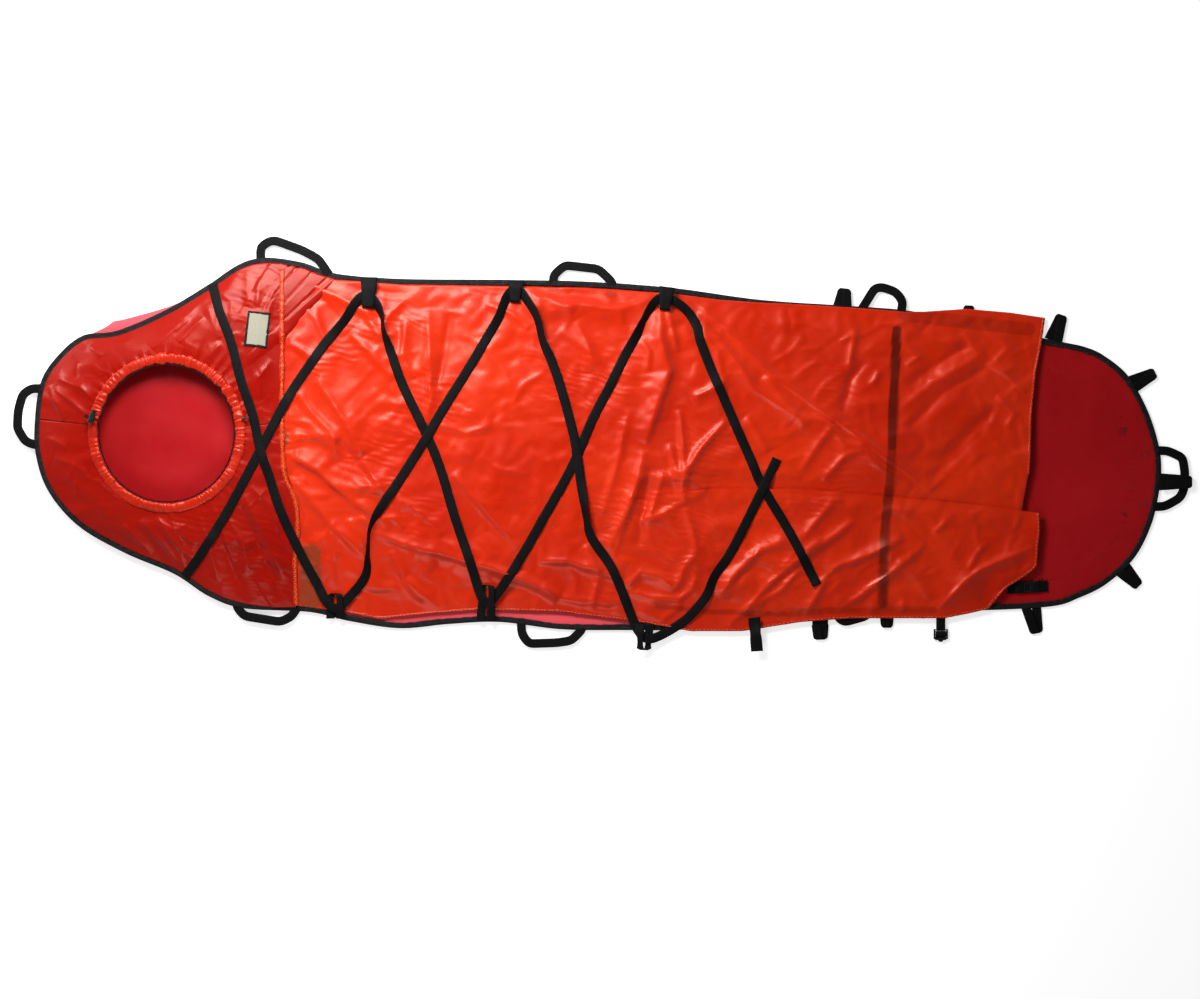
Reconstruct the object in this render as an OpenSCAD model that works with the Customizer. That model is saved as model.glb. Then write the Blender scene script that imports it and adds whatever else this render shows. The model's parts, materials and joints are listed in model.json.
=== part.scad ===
// Soft rescue drag sled lying flat and laced shut.
// Millimetres. The sled lies on z = 0, the head is at -X, the foot at +X, +Z is up.

/* [Sheets] */
// Thickness of the coated base sheet
base_t = 1.5; // [1:0.1:3]
// Thickness of the hood and cover cloth as built
cover_t = 0.8; // [0.6:0.1:1.5]
// Height of the cover crown over its edges at the chest
crown_h = 24; // [10:1:60]
// Height of the face opening rim over the floor
face_h = 44; // [25:1:80]

/* [Webbing] */
// Width of the lacing, loop and handle webbing
web_w = 20; // [15:1:30]
// Thickness of the webbing
web_t = 1.5; // [1:0.1:3]
// Width of the binding tape seen from above
bind_w = 12; // [8:1:20]
// Thickness of the folded binding tape
bind_t = 3; // [2:0.2:5]

/* [Hardware] */
// Diameter of the face drawcord
cord_d = 3; // [2:0.5:5]
// Diameter of the cord lock barrel
lock_d = 13; // [10:1:20]
// Length of the cord lock barrel
lock_len = 20; // [15:1:30]
// Travel of the cord lock plunger
lock_travel = 4; // [2:0.5:6]
// Node to show, or all

/* [Hidden] */
// Free gap kept between separate pieces
gap = 0.4;
// Free gap between the two halves of the fold line
fold_gap = 1;
// Thickness of the binding's wall down the edge of the base
bind_wall = 1.4;
// Extra lift of the edge where the base rolls out at the head
head_lift = 7;
// Air between the binding and the cover cloth over it
cover_gap = 0.8;
// Lift of the near flap and the hood over the cover surface
flap_lift = 2.4;
// Drop of the far flap under the near one, and the run over which it drops
lap_drop = 5;
lap_run = 45;
// Gathered hem band: its height over the flaps and its thickness
hem_lift = 5.5;
hem_t = 1.6;
// Air between webbing and the cloth it lies on
lay_gap = 1.2;

// Smooth curve through points, n steps to a span
function cr(a, b, c, d, t) =
  0.5 * (2 * b + (c - a) * t + (2 * a - 5 * b + 4 * c - d) * t * t
    + (3 * b - a - 3 * c + d) * t * t * t);
function curve(p, n) = concat(
  [for (i = [0:len(p) - 2]) for (k = [0:n - 1])
    cr(p[max(i - 1, 0)], p[i], p[i + 1], p[min(i + 2, len(p) - 1)], k / n)],
  [p[len(p) - 1]]);
function smooth(t) = let (s = min(1, max(0, t))) s * s * (3 - 2 * s);
function mix(a, b, t) = a + (b - a) * t;
function unit(v) = v / norm(v);
function left(v) = [-v[1], v[0]];
function flat(l) = [for (a = l) for (b = a) b];
function back(l) = [for (i = [len(l) - 1:-1:0]) l[i]];
function along(p, i) = unit(p[min(i + 1, len(p) - 1)] - p[max(i - 1, 0)]);

// Outer line of the binding, from the fold on the far side round the head
main_line = [
  [978, 204], [882, 223], [735, 254], [640, 272], [525, 281], [336, 294], [151, 319], [-25, 332],
  [-210, 336], [-420, 338], [-554, 349], [-624, 372], [-701, 382], [-756, 368], [-819, 326],
  [-907, 273], [-1008, 229], [-1084, 218], [-1138, 174], [-1172, 120], [-1184, 42], [-1182, -32],
  [-1155, -109], [-1092, -181], [-995, -237], [-892, -281], [-819, -328], [-746, -353], [-609, -361],
  [-525, -380], [-420, -395], [-315, -386], [-210, -382], [-84, -397], [42, -399], [189, -397],
  [336, -376], [483, -363], [672, -359], [819, -357], [949, -349]
];
// The same line round the foot, from the near side to the far side
foot_line = [
  [949, -349], [1004, -332], [1063, -302], [1121, -248], [1157, -178], [1174, -105],
  [1178, -52], [1170, 0], [1147, 67], [1107, 136], [1056, 178], [1018, 195],
  [978, 204]
];
fold_far = main_line[0];
fold_near = foot_line[0];
fold_dir = unit(fold_near - fold_far);
fold_out = left(fold_dir);
function pulled(p, d) = [for (q = p) q == fold_far || q == fold_near ? q + fold_out * d : q];
main_rim = curve(pulled(main_line, -fold_gap / 2), 2);
foot_rim = curve(pulled(foot_line, fold_gap / 2), 3);

// Lift of the base edge over the floor, and how far it rolls out past the binding
rise_tab = [[-1190, 10], [-1000, 13], [-800, 11], [-650, 5], [-400, 3], [600, 2.5], [930, 0.6],
  [960, 0]];
roll_tab = [[-1085, 0], [-1060, 0.55], [-1015, 1], [-960, 0.85], [-900, 0.6], [-850, 0.4], [-812, 0],
  [-570, 0], [-545, 0.25], [-475, 0.2], [-450, 0], [-395, 0.2], [-280, 0.2], [-250, 0]];
roll_d = 24;
function rise(p) = lookup(p[0], rise_tab) + (p[0] < -700 ? head_lift * roll(p) : 0);
function roll(p) = p[1] > 0 ? lookup(p[0], roll_tab) : 0;
function bind_top(p) = base_t + rise(p) + gap + bind_t;

// Inward direction at a point of the main rim
function inward(i) = i == 0 ? fold_dir
  : i == len(main_rim) - 1 ? -fold_dir
  : left(unit(main_rim[min(i + 2, len(main_rim) - 1)] - main_rim[max(i - 2, 0)]));
// Middle line of the base sheet from its edge inward: [distance, height]
function base_mid(p) = let (b = roll(p), e = base_t / 2, h = e + rise(p)) [
  [mix(2, 9, b), h],
  [mix(14, -0.5 * roll_d, b), mix(h, h - 1, b)],
  [mix(28, 2 - roll_d, b), mix(mix(h, e, 0.35), 0.5 * h, b)],
  [mix(40, -0.4 * roll_d, b), mix(mix(h, e, 0.8), e + 1.2, b)],
  [mix(54, 30, b), e]];
function base_up(m, k) = k == len(m) - 1 ? [0, 1]
  : let (t = unit(m[min(k + 1, len(m) - 1)] - m[max(k - 1, 0)])) [-t[1], t[0]];
function base_row(i, s) = let (p = main_rim[i], m = base_mid(p), n = inward(i))
  [for (k = [0:len(m) - 1])
    let (q = m[k] + base_up(m, k) * s * base_t / 2)
    [p[0] + n[0] * q[0], p[1] + n[1] * q[0], q[1]]];

// Closed thin solid between two point grids of the same shape
module slab(top, low) {
  n = len(top);
  m = len(top[0]);
  o = n * m;
  polyhedron(
    points = concat(flat(top), flat(low)),
    faces = concat(
      [for (i = [0:n - 2]) for (j = [0:m - 2]) [i * m + j, i * m + j + 1, (i + 1) * m + j + 1]],
      [for (i = [0:n - 2]) for (j = [0:m - 2]) [i * m + j, (i + 1) * m + j + 1, (i + 1) * m + j]],
      [for (i = [0:n - 2]) for (j = [0:m - 2])
        [o + i * m + j, o + (i + 1) * m + j + 1, o + i * m + j + 1]],
      [for (i = [0:n - 2]) for (j = [0:m - 2])
        [o + i * m + j, o + (i + 1) * m + j, o + (i + 1) * m + j + 1]],
      [for (i = [0:n - 2]) [i * m, (i + 1) * m, o + (i + 1) * m]],
      [for (i = [0:n - 2]) [i * m, o + (i + 1) * m, o + i * m]],
      [for (i = [0:n - 2]) [(i + 1) * m - 1, o + (i + 2) * m - 1, (i + 2) * m - 1]],
      [for (i = [0:n - 2]) [(i + 1) * m - 1, o + (i + 1) * m - 1, o + (i + 2) * m - 1]],
      [for (j = [0:m - 2]) [j, o + j, o + j + 1]],
      [for (j = [0:m - 2]) [j, o + j + 1, j + 1]],
      [for (j = [0:m - 2]) [o - m + j, o - m + j + 1, 2 * o - m + j + 1]],
      [for (j = [0:m - 2]) [o - m + j, 2 * o - m + j + 1, 2 * o - m + j]]),
    convexity = 10);
}

// Closed solid through rings of points, open ends capped or joined round
module sweep(rings, joined = false) {
  n = len(rings);
  m = len(rings[0]);
  last = joined ? n - 1 : n - 2;
  polyhedron(
    points = flat(rings),
    faces = concat(
      [for (i = [0:last]) for (j = [0:m - 1])
        [i * m + j, ((i + 1) % n) * m + j, ((i + 1) % n) * m + (j + 1) % m]],
      [for (i = [0:last]) for (j = [0:m - 1])
        [i * m + j, ((i + 1) % n) * m + (j + 1) % m, i * m + (j + 1) % m]],
      joined ? [] : [[for (j = [0:m - 1]) j], [for (j = [m - 1:-1:0]) (n - 1) * m + j]]),
    convexity = 10);
}

module base_sheet() {
  color([0.75, 0.12, 0.15]) {
    n = len(main_rim);
    m = 5;
    up = [for (i = [0:n - 1]) base_row(i, 1)];
    dn = [for (i = [0:n - 1]) base_row(i, -1)];
    o = n * m;
    polyhedron(
      points = concat(flat(up), flat(dn)),
      faces = concat(
        [for (i = [0:n - 2]) for (j = [0:m - 2]) [i * m + j, i * m + j + 1, (i + 1) * m + j + 1]],
        [for (i = [0:n - 2]) for (j = [0:m - 2]) [i * m + j, (i + 1) * m + j + 1, (i + 1) * m + j]],
        [for (i = [0:n - 2]) for (j = [0:m - 2])
          [o + i * m + j, o + (i + 1) * m + j + 1, o + i * m + j + 1]],
        [for (i = [0:n - 2]) for (j = [0:m - 2])
          [o + i * m + j, o + (i + 1) * m + j, o + (i + 1) * m + j + 1]],
        [for (i = [0:n - 2]) [i * m, (i + 1) * m, o + (i + 1) * m]],
        [for (i = [0:n - 2]) [i * m, o + (i + 1) * m, o + i * m]],
        [[for (i = [n - 1:-1:0]) i * m + m - 1]],
        [[for (i = [0:n - 1]) o + i * m + m - 1]],
        [concat([for (j = [m - 1:-1:0]) j], [for (j = [0:m - 1]) o + j])],
        [concat([for (j = [0:m - 1]) o - m + j], [for (j = [m - 1:-1:0]) 2 * o - m + j])],
        [[o - 1, m - 1, o + m - 1, 2 * o - 1]]),
      convexity = 10);
  }
}

// Flat ring between the rim line and the same line moved in
function foot_in(d) = [for (i = [0:len(foot_rim) - 1])
  let (n = i == 0 ? -fold_dir : i == len(foot_rim) - 1 ? fold_dir : left(along(foot_rim, i)))
  foot_rim[i] + n * d];

module foot_flap() {
  color([0.45, 0.04, 0.05])
    linear_extrude(base_t) polygon(foot_in(2));
}

module binding_foot() {
  color([0.08, 0.08, 0.09]) {
    translate([0, 0, base_t + gap])
      linear_extrude(bind_t) polygon(concat(foot_rim, back(foot_in(bind_w))));
    linear_extrude(base_t + gap + bind_t) polygon(concat(foot_rim, back(foot_in(bind_wall))));
  }
}

// The binding is an angle in section: a flat band on the base and a wall down its edge
function bind_row(i) = let (p = main_rim[i], n = inward(i), z = base_t + rise(p) + gap,
  w = mix(z - 0.2, 0.6, min(1, roll(p) * 4)), low = z - min(w, base_t + gap))
  [for (q = [[0, low], [0, z + bind_t], [bind_w, z + bind_t], [bind_w, z], [bind_wall, z],
      [bind_wall, low]])
    [p[0] + n[0] * q[0], p[1] + n[1] * q[0], q[1]]];
module binding_main() {
  color([0.08, 0.08, 0.09])
    sweep([for (i = [len(main_rim) - 1:-1:0]) bind_row(i)]);
}

// Cover edges as y over x: the far flap, its hidden lower edge, the near flap and its hem
far_edge = [[-666, 365], [-624, 359], [-554, 336], [-420, 326], [-210, 323], [-25, 319], [151, 307],
  [252, 294], [336, 288], [386, 286], [475, 281], [563, 275], [640, 269], [680, 269], [769, 275],
  [861, 267], [934, 256]];
near_edge = [[-666, -344], [-536, -361], [-462, -376], [-357, -365], [-252, -357], [-84, -361],
  [0, -372],
  [84, -382], [189, -401], [298, -401], [420, -382], [525, -374], [722, -374], [769, -365], [813, -355]];
lap_edge = [[-666, -153], [-378, -136], [-126, -126], [84, -124], [225, -103], [420, -103], [594, -118],
  [769, -134], [920, -153]];
// Free ends of the flaps and the hem of the hood as x over y
far_end = [[-220, 878], [-143, 888], [-69, 901], [48, 905], [139, 914],
  [189, 924], [256, 934]];
near_end = [[-355, 813], [-332, 832], [-307, 855], [-281, 897], [-265, 916],
  [-223, 918], [-191, 922], [-153, 920]];
hem_line = [[-351, -636], [-260, -638], [-189, -632], [-128, -636], [-67, -659],
  [44, -664], [176, -664], [370, -666]];

crown_tab = [[-1190, 0.2], [-900, 1], [-660, 1], [-300, 0.95], [200, 0.85], [600, 0.55], [940, 0.25]];
// Main folds: from, to, height, half width
folds = [
  [[-647, 326], [-521, 0], 6, 30], [[-592, 294], [-437, -63], -5, 30], [[-521, 84], [-479, -210], 6, 30],
  [[-479, 273], [-336, 21], 6, 26], [[-420, -63], [-357, -336], 5, 28], [[-178, 294], [-273, 42], 6, 28],
  [[-168, 294], [-84, 84], 5, 26], [[-378, -220], [-84, -252], 5, 24], [[-315, -315], [84, -294],
    -4, 24],
  [[141, 273], [84, -63], 8, 26], [[134, 269], [10, 42], 5, 26], [[63, -126], [38, -378], 6, 28],
  [[151, 269], [252, 84], 7, 26], [[189, 242], [420, 52], 8, 24], [[420, 52], [693, -109], 6, 26],
  [[294, 231], [462, 105], -4, 28], [[210, 42], [193, -84], 6, 28], [[546, -63], [840, 189], 5, 34],
  [[651, -84], [907, 84], -4, 34], [[189, -336], [525, -136], 7, 26], [[357, -361], [630, -220], 6, 24],
  [[630, -361], [903, -210], 6, 26], [[-84, 231], [0, -42], -4, 30], [[-420, 210], [-357, 42], -4, 28]
];
function fold_at(p, f) = let (a = f[0], d = f[1] - f[0], t = (p - a) * d / (d * d),
    s = min(1, max(0, t)), r = norm(p - a - d * s))
  f[2] * exp(-pow(r / f[3], 2)) * (1 - 0.6 * abs(2 * s - 1));
function fold_sum(p) = [for (f = folds) fold_at(p, f)] * [for (f = folds) 1];
function across(p) = let (a = lookup(p[0], far_edge), b = lookup(p[0], near_edge))
  min(1, abs((2 * p[1] - a - b) / (a - b)));
function cover_top(p) = base_t + lookup(p[0], rise_tab) + gap + bind_t + cover_gap;
function crown(p) = let (v = across(p)) crown_h * lookup(p[0], crown_tab) * (1 - v * v);
function cover_z(p) = cover_top(p) + crown(p)
  + fold_sum(p) * min(1, 5 * (1 - pow(across(p), 2)));
// Under the near flap the far flap lies smooth and a little lower
function lap(p) = smooth((p[1] - lookup(p[0], lap_edge)) / lap_run);
function far_z(p) = mix(cover_top(p) + crown(p) - lap_drop, cover_z(p), lap(p));
function near_z(p) = cover_z(p) + flap_lift;
function pt(p, z) = [p[0], p[1], z];

far_u = 33;
far_v = 17;
far_grid = [for (i = [0:far_u]) [for (j = [0:far_v])
  let (v = j / far_v,
    y0 = mix(-215, 360, v),
    x = mix(lookup(y0, hem_line) + 1, lookup(mix(-215, 256, v), far_end), i / far_u),
    y = mix(lookup(x, lap_edge) - 70, lookup(x, far_edge), v))
  [x, y]]];
near_u = 33;
near_v = 10;
near_grid = [for (i = [0:near_u]) [for (j = [0:near_v])
  let (v = j / near_v,
    x = mix(lookup(mix(-344, -156, v), hem_line) + 1, lookup(mix(-355, -153, v), near_end), i / near_u),
    y = mix(lookup(x, near_edge), lookup(x, lap_edge), v))
  [x, y]]];

module far_flap() {
  color([0.84, 0.2, 0.1])
    slab([for (r = far_grid) [for (p = r) pt(p, far_z(p) + cover_t)]],
      [for (r = far_grid) [for (p = r) pt(p, far_z(p))]]);
}

module near_flap() {
  color([0.86, 0.24, 0.12])
    slab([for (r = near_grid) [for (p = r) pt(p, near_z(p) + cover_t)]],
      [for (r = near_grid) [for (p = r) pt(p, near_z(p))]]);
}

// Hood: rays from the middle of the face opening to the binding and the hem
face_c = [-903, 13];
face_r = [143, 145];
case_w = 22;
hood_line = concat(
  [for (i = [20:53]) main_rim[i] + inward(i) * (bind_w - 1)],
  [for (q = hem_line) [q[1] - 1, q[0]]]);
function cut(c, d, a, b) = let (e = b - a, k = d[0] * e[1] - d[1] * e[0],
    w = a - c, t = (w[0] * e[1] - w[1] * e[0]) / k, s = (w[0] * d[1] - w[1] * d[0]) / k)
  s >= 0 && s <= 1 && t > 0 ? t : 1e6;
function reach(a) = let (d = [cos(a), sin(a)], n = len(hood_line))
  min([for (i = [0:n - 1]) cut(face_c, d, hood_line[i], hood_line[(i + 1) % n])]);
function face_p(a, extra) = face_c + [(face_r[0] + extra) * cos(a), (face_r[1] + extra) * sin(a)];
function hood_rows(a0, a1, n, m, side) = [for (i = [0:n]) let (a = mix(a0, a1, i / n),
    q0 = face_p(a, case_w + 1), q1 = face_c + reach(a) * [cos(a), sin(a)])
  [for (j = [0:m]) let (t = j / m, q = mix(q0, q1, t), z1 = hood_rim(q1))
    [q[0], q[1] + (i == 0 ? side : i == n ? -side * cos(a0 - a1) / abs(cos(a0 - a1)) : 0),
      mix(z1, face_h, 1 - pow(t, 1.6)) + hood_fold(q) * min(1, 4 * t * (1 - t) + 0.1)]]];
function hood_rim(q) = q[0] > -690 ? cover_top(q) + crown(q) + flap_lift
  : cover_top(q) + (q[0] < -700 ? head_lift * roll(q) : 0);
hood_folds = [
  [[-1113, -63], [-945, -252], 5, 22], [[-903, -168], [-777, -252], 6, 20], [[-746, -105],
    [-662, -252], 6, 22],
  [[-1134, 84], [-1075, 116], 4, 16], [[-1060, 168], [-987, 210], 4, 18], [[-861, 210],
    [-808, 273], 4, 20],
  [[-724, 126], [-710, 315], 5, 20], [[-766, -126], [-710, -304], -4, 20]
];
function hood_fold(p) = [for (f = hood_folds) fold_at(p, f)] * [for (f = hood_folds) 1];
function lifted(rows, h) = [for (r = rows) [for (p = r) p + [0, 0, h]]];
seam_right = 5;
seam_left = 174;

module hood_far_panel() {
  rows = back(hood_rows(seam_right, seam_left, 24, 6, gap / 2));
  color([0.74, 0.12, 0.07])
    slab(lifted(rows, cover_t), rows);
}

module hood_near_panel() {
  rows = back(hood_rows(seam_left, seam_right + 360, 26, 6, -gap / 2));
  color([0.76, 0.13, 0.08])
    slab(lifted(rows, cover_t), rows);
}

// Gathered band over the joint of hood and flaps
module hood_hem() {
  mid = [for (i = [0:24]) let (y = mix(-346, 358, i / 24)) [lookup(y, hem_line), y]];
  top = [for (p = mid) [for (s = [6, -6]) [p[0] + s, p[1], hem_z(p)]]];
  color([0.88, 0.3, 0.12])
    slab(lifted(top, hem_t), top);
}
function hem_z(p) = cover_top(p) + crown(p) + flap_lift + cover_t + hem_lift;

// Tube round the face opening, gathered in ruffles
case_n = 48;
module face_casing() {
  color([0.9, 0.3, 0.12])
    sweep([for (i = [case_n - 1:-1:0]) let (a = i * 360 / case_n, g = 1 + 0.25 * sin(a * 12))
      [for (s = [0:5]) let (q = face_p(a, case_w / 2 + (case_w / 2) * cos(s * 60)))
        [q[0], q[1], face_h + 1 + 4.5 * g * sin(s * 60)]]], true);
}

// Highest cover surface near a point, and the level at which webbing lies on it
function hood_z(p) = let (d = p - face_c, a = atan2(d[1], d[0]),
    r0 = norm(face_p(a, case_w + 1) - face_c), r1 = reach(a), t = min(1, max(0,
      (norm(d) - r0) / (r1 - r0))), q1 = face_c + r1 * [cos(a), sin(a)])
  mix(hood_rim(q1), face_h, 1 - pow(t, 1.6)) + max(0, hood_fold(p));
function top_z(p) = p[0] < lookup(p[1], hem_line) ? hood_z(p)
  : p[1] < lookup(p[0], lap_edge) + 25 ? near_z(p) : far_z(p);
spread = [[0, 0], [22, 0], [-22, 0], [0, 14], [0, -14], [40, 12], [-40, -12], [40, -12], [-40, 12]];
function lay_z(p) = max([for (s = spread) top_z(p + s)]) + cover_t + lay_gap + web_t / 2;
function hem_lay(p) = abs(p[0] - lookup(p[1], hem_line)) < 26 ? hem_z(p) + hem_t + 1 + web_t / 2 : 0;
// Places where a strap is raised: through the edge loops and over the other strap
loop_spots = [[-491, 302], [-176, 313], [134, 298], [-552, -349], [-239, -344], [97, -414]];
cross_spots = [[-708, -21], [-363, 0], [-48, -32], [340, -99]];
function raised(p, spots, h, r) = h * max([for (s = spots) smooth(1.6 - norm(p - s) / r)]);

// Flat webbing along a path of [x, y, roll]: roll stands it on edge
module webbing(path, over) {
  n = len(path);
  p2 = [for (q = path) [q[0], q[1]]];
  rows = [for (i = [0:n - 1]) let (d = along(p2, i), r = path[i][2], w = web_w / 2,
      z = in_eye(p2[i], max(lay_z(p2[i]), hem_lay(p2[i])))
        + raised(p2[i], cross_spots, over, 30) + w * sin(r),
      s = [left(d)[0] * cos(r), left(d)[1] * cos(r), sin(r)],
      u = [-left(d)[0] * sin(r), -left(d)[1] * sin(r), cos(r)])
    [pt(p2[i], z) - s * w, pt(p2[i], z) + s * w, u * web_t / 2]];
  slab([for (r = rows) [r[0] + r[2], r[1] + r[2]]], [for (r = rows) [r[0] - r[2], r[1] - r[2]]]);
}

function roll_pt(p, r) = [p[0], p[1], r];
strap_a_line = [
  roll_pt([-811, 326], 0), roll_pt([-796, 273], 0), roll_pt([-769, 202], 0), roll_pt([-748, 122], 0),
  roll_pt([-724, 52], 0), roll_pt([-708, -21], 0), roll_pt([-689, -80], 0), roll_pt([-664, -155], 0),
  roll_pt([-632, -225], 0), roll_pt([-594, -298], 0), roll_pt([-573, -338], 0), roll_pt([-552, -353], 0),
  roll_pt([-529, -334], 0), roll_pt([-491, -286], 25), roll_pt([-485, -235],
    70), roll_pt([-479, -183], 70),
  roll_pt([-452, -134], 10), roll_pt([-418, -84], 0), roll_pt([-370, -8], 0), roll_pt([-319, 78], 0),
  roll_pt([-277, 145], 0), roll_pt([-242, 204], 0), roll_pt([-212, 256], 20), roll_pt([-195, 300], 20),
  roll_pt([-176, 315], 0), roll_pt([-158, 300], 20), roll_pt([-132, 256], 40), roll_pt([-120, 208], 40),
  roll_pt([-101, 164], 0), roll_pt([-80, 103], 0), roll_pt([-57, 17], 0), roll_pt([-48, -32], 0),
  roll_pt([-40, -90], 10), roll_pt([-29, -162], 50), roll_pt([-17, -206], 10), roll_pt([23, -265], 0),
  roll_pt([50, -328], 0), roll_pt([76, -393], 0), roll_pt([97, -416], 0), roll_pt([122, -412], 0),
  roll_pt([160, -391], 0), roll_pt([189, -368], 0), roll_pt([223, -326], 0), roll_pt([239, -286], 20),
  roll_pt([275, -233], 0), roll_pt([326, -132], 0), roll_pt([346, -90], 0), roll_pt([370, -40], 0)
];
strap_b_line = [
  roll_pt([-869, -286], 0), roll_pt([-836, -244], 0), roll_pt([-792, -176], 0), roll_pt([-752, -105], 0),
  roll_pt([-708, -21], 0), roll_pt([-651, 88], 0), roll_pt([-605, 158], 0), roll_pt([-571, 206], 0),
  roll_pt([-536, 248], 20), roll_pt([-510, 288], 12), roll_pt([-491, 302], 0), roll_pt([-470, 288], 12),
  roll_pt([-456, 258], 60), roll_pt([-452, 227], 60), roll_pt([-435, 178], 10), roll_pt([-410, 109], 0),
  roll_pt([-361, 8], 0), roll_pt([-332, -65], 0), roll_pt([-302, -166], 10), roll_pt([-273, -250], 0),
  roll_pt([-252, -319], 0), roll_pt([-237, -342], 0), roll_pt([-220, -328], 0), roll_pt([-195, -294], 0),
  roll_pt([-155, -229], 0), roll_pt([-113, -155], 0), roll_pt([-76, -90], 0), roll_pt([-48, -34], 0),
  roll_pt([-15, 44], 0), roll_pt([19, 109], 0), roll_pt([50, 172], 0), roll_pt([76, 218], 20),
  roll_pt([92, 252], 50), roll_pt([113, 286], 20), roll_pt([134, 298], 0), roll_pt([155, 290], 20),
  roll_pt([181, 271], 20), roll_pt([202, 239], 0), roll_pt([210, 206], 0), roll_pt([235, 141], 0),
  roll_pt([269, 63], 0), roll_pt([315, -42], 0), roll_pt([340, -99], 0), roll_pt([397, -195], 0),
  roll_pt([454, -304], 0)
];
module lacing_strap_a() {
  color([0.08, 0.08, 0.09]) webbing(curve(strap_a_line, 2), 4.4);
}
module lacing_strap_b() {
  color([0.09, 0.09, 0.1]) webbing(curve(strap_b_line, 2), 0);
}

// Flat hairpin of webbing seen from the side, eye open across its width
module hairpin(len, tall, w) {
  rotate([90, 0, 0]) translate([0, 0, -w / 2]) linear_extrude(w) difference() {
    union() {
      square([len - tall / 2, tall]);
      translate([len - tall / 2, tall / 2]) circle(d = tall, $fn = 40);
    }
    translate([web_t, web_t]) square([len - tall / 2 - web_t, tall - 2 * web_t]);
    translate([len - tall / 2, tall / 2]) circle(d = tall - 2 * web_t, $fn = 40);
  }
}
module placed(p, a, z) {
  translate([p[0], p[1], z]) rotate([0, 0, a]) children();
}
// [root, direction, length, underside height]
lace_far = [[[-483, 342], -92, 66], [[-176, 334], -93, 46], [[141, 321], -97, 50]];
lace_near = [[[-554, -376], 90, 54], [[-239, -382], 88, 78], [[94, -384], -92, 56]];
loop_tall = 14;
function lace_under(p) = max([for (r = [0:10:p[2] + 4])
  lay_z(p[0] + r * [cos(p[1]), sin(p[1])])]) - web_t / 2;
eyes = [for (i = [0:5]) let (p = i < 3 ? lace_far[i] : lace_near[i - 3])
  pt(loop_spots[i], lace_under(p) + loop_tall / 2)];
function in_eye(p, z) = let (w = [for (e = eyes) smooth(1.7 - norm(p - [e[0], e[1]]) / 28)],
    k = max(w), h = max([for (i = [0:5]) w[i] == k ? eyes[i][2] : 0]))
  mix(z, h, k);
module lace_loops_far() {
  color([0.07, 0.07, 0.08])
    for (p = lace_far) placed(p[0], p[1], lace_under(p)) hairpin(p[2], loop_tall, web_w);
}
module lace_loops_near() {
  color([0.07, 0.07, 0.08])
    for (p = lace_near) placed(p[0], p[1], lace_under(p)) hairpin(p[2], loop_tall, web_w);
}

// Free loop: a flat hairpin that narrows to its tip, root at the origin
bend_gap = 1.6;
module spread_loop(len, root, tip) {
  tall = 2 * web_t + bend_gap;
  intersection() {
    translate([0, 0, -tall / 2]) hairpin(len, tall, root + 4);
    translate([0, 0, -tall]) linear_extrude(2 * tall)
      polygon([[-1, -root / 2], [len + 1, -tip / 2], [len + 1, tip / 2], [-1, root / 2]]);
  }
}
// Free loops: [root on the rim, direction, length, root width, tip width, height]
clear = 1.8;
free_loops = [
  [[509, 282], 83, 36, 38, 24], [[773, 248], 88, 34, 24, 19], [[462, -393], -88, 26, 34, 27],
  [[602, -378], -90, 16, 27, 22], [[953, 213], 71, 52, 36, 21], [[1120, 118], 27, 51, 36, 21],
  [[1178, -88], 0, 64, 34, 23], [[1101, -275], -46, 44, 36, 21], [[906, -355], -78, 52, 40, 25]
];
function loop_z(i) = base_t + rise(free_loops[i][0]) + gap + bind_t - web_t - bend_gap / 2;
module free_loop(i) {
  f = free_loops[i];
  color([0.06, 0.06, 0.07]) placed(f[0] + clear * [cos(f[1]), sin(f[1])], f[1], loop_z(i))
    spread_loop(f[2], f[3], f[4]);
}
module loop_far_shin() { free_loop(0); }
module loop_far_ankle() { free_loop(1); }
module loop_near_shin() { free_loop(2); }
module loop_near_ankle() { free_loop(3); }
module foot_loop_far() { free_loop(4); }
module foot_loop_far_end() { free_loop(5); }
module foot_loop_end() { translate([0, 0, 4.7]) free_loop(6); }
module foot_loop_near_end() { free_loop(7); }
module foot_loop_near() { free_loop(8); }

// Webbing under the near hem, from the rim out to the roots of the near loops
module near_anchors() {
  color([0.06, 0.06, 0.07])
    for (q = [[[462, -393], 34], [[602, -378], 27], [[715, -377], 20]])
      translate([q[0][0], q[0][1] - clear + 1, base_t + rise(q[0]) + gap + bind_t - 2 * web_t])
        linear_extrude(web_t) difference() {
          translate([-q[1] / 2, 0]) square([q[1], 45]);
          translate([-q[0][0], -q[0][1] + clear - 1]) sled_area(0.8);
        }
}

// Carry handles: outer line, inner line, trimmed off clear of the rim
module sled_area(d) {
  polygon(concat([for (i = [0:len(main_rim) - 1]) main_rim[i] - inward(i) * d], foot_in(-d)));
}
module handle(outer, inner, root) {
  translate([0, 0, base_t + rise(root) + gap + bind_t - web_t])
    color([0.07, 0.07, 0.08]) linear_extrude(web_t) difference() {
      polygon(concat(outer, back(inner)));
      sled_area(clear);
    }
}
module handle_head() {
  handle([[-1166, 116], [-1193, 116], [-1212, 97], [-1222, 67], [-1226, 29], [-1216, 0],
    [-1191, -19], [-1166, -19]],
    [[-1166, 99], [-1191, 99], [-1208, 92], [-1216, 52], [-1216, 21], [-1193, -6], [-1166, -2]],
      [-1184, 46]);
}
module handle_far_1() {
  handle([[-720, 346], [-720, 401], [-693, 426], [-678, 426], [-626, 407], [-588, 386], [-556, 346]],
    [[-701, 346], [-704, 407], [-689, 410], [-622, 388], [-592, 372], [-580, 346]], [-651, 374]);
}
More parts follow.
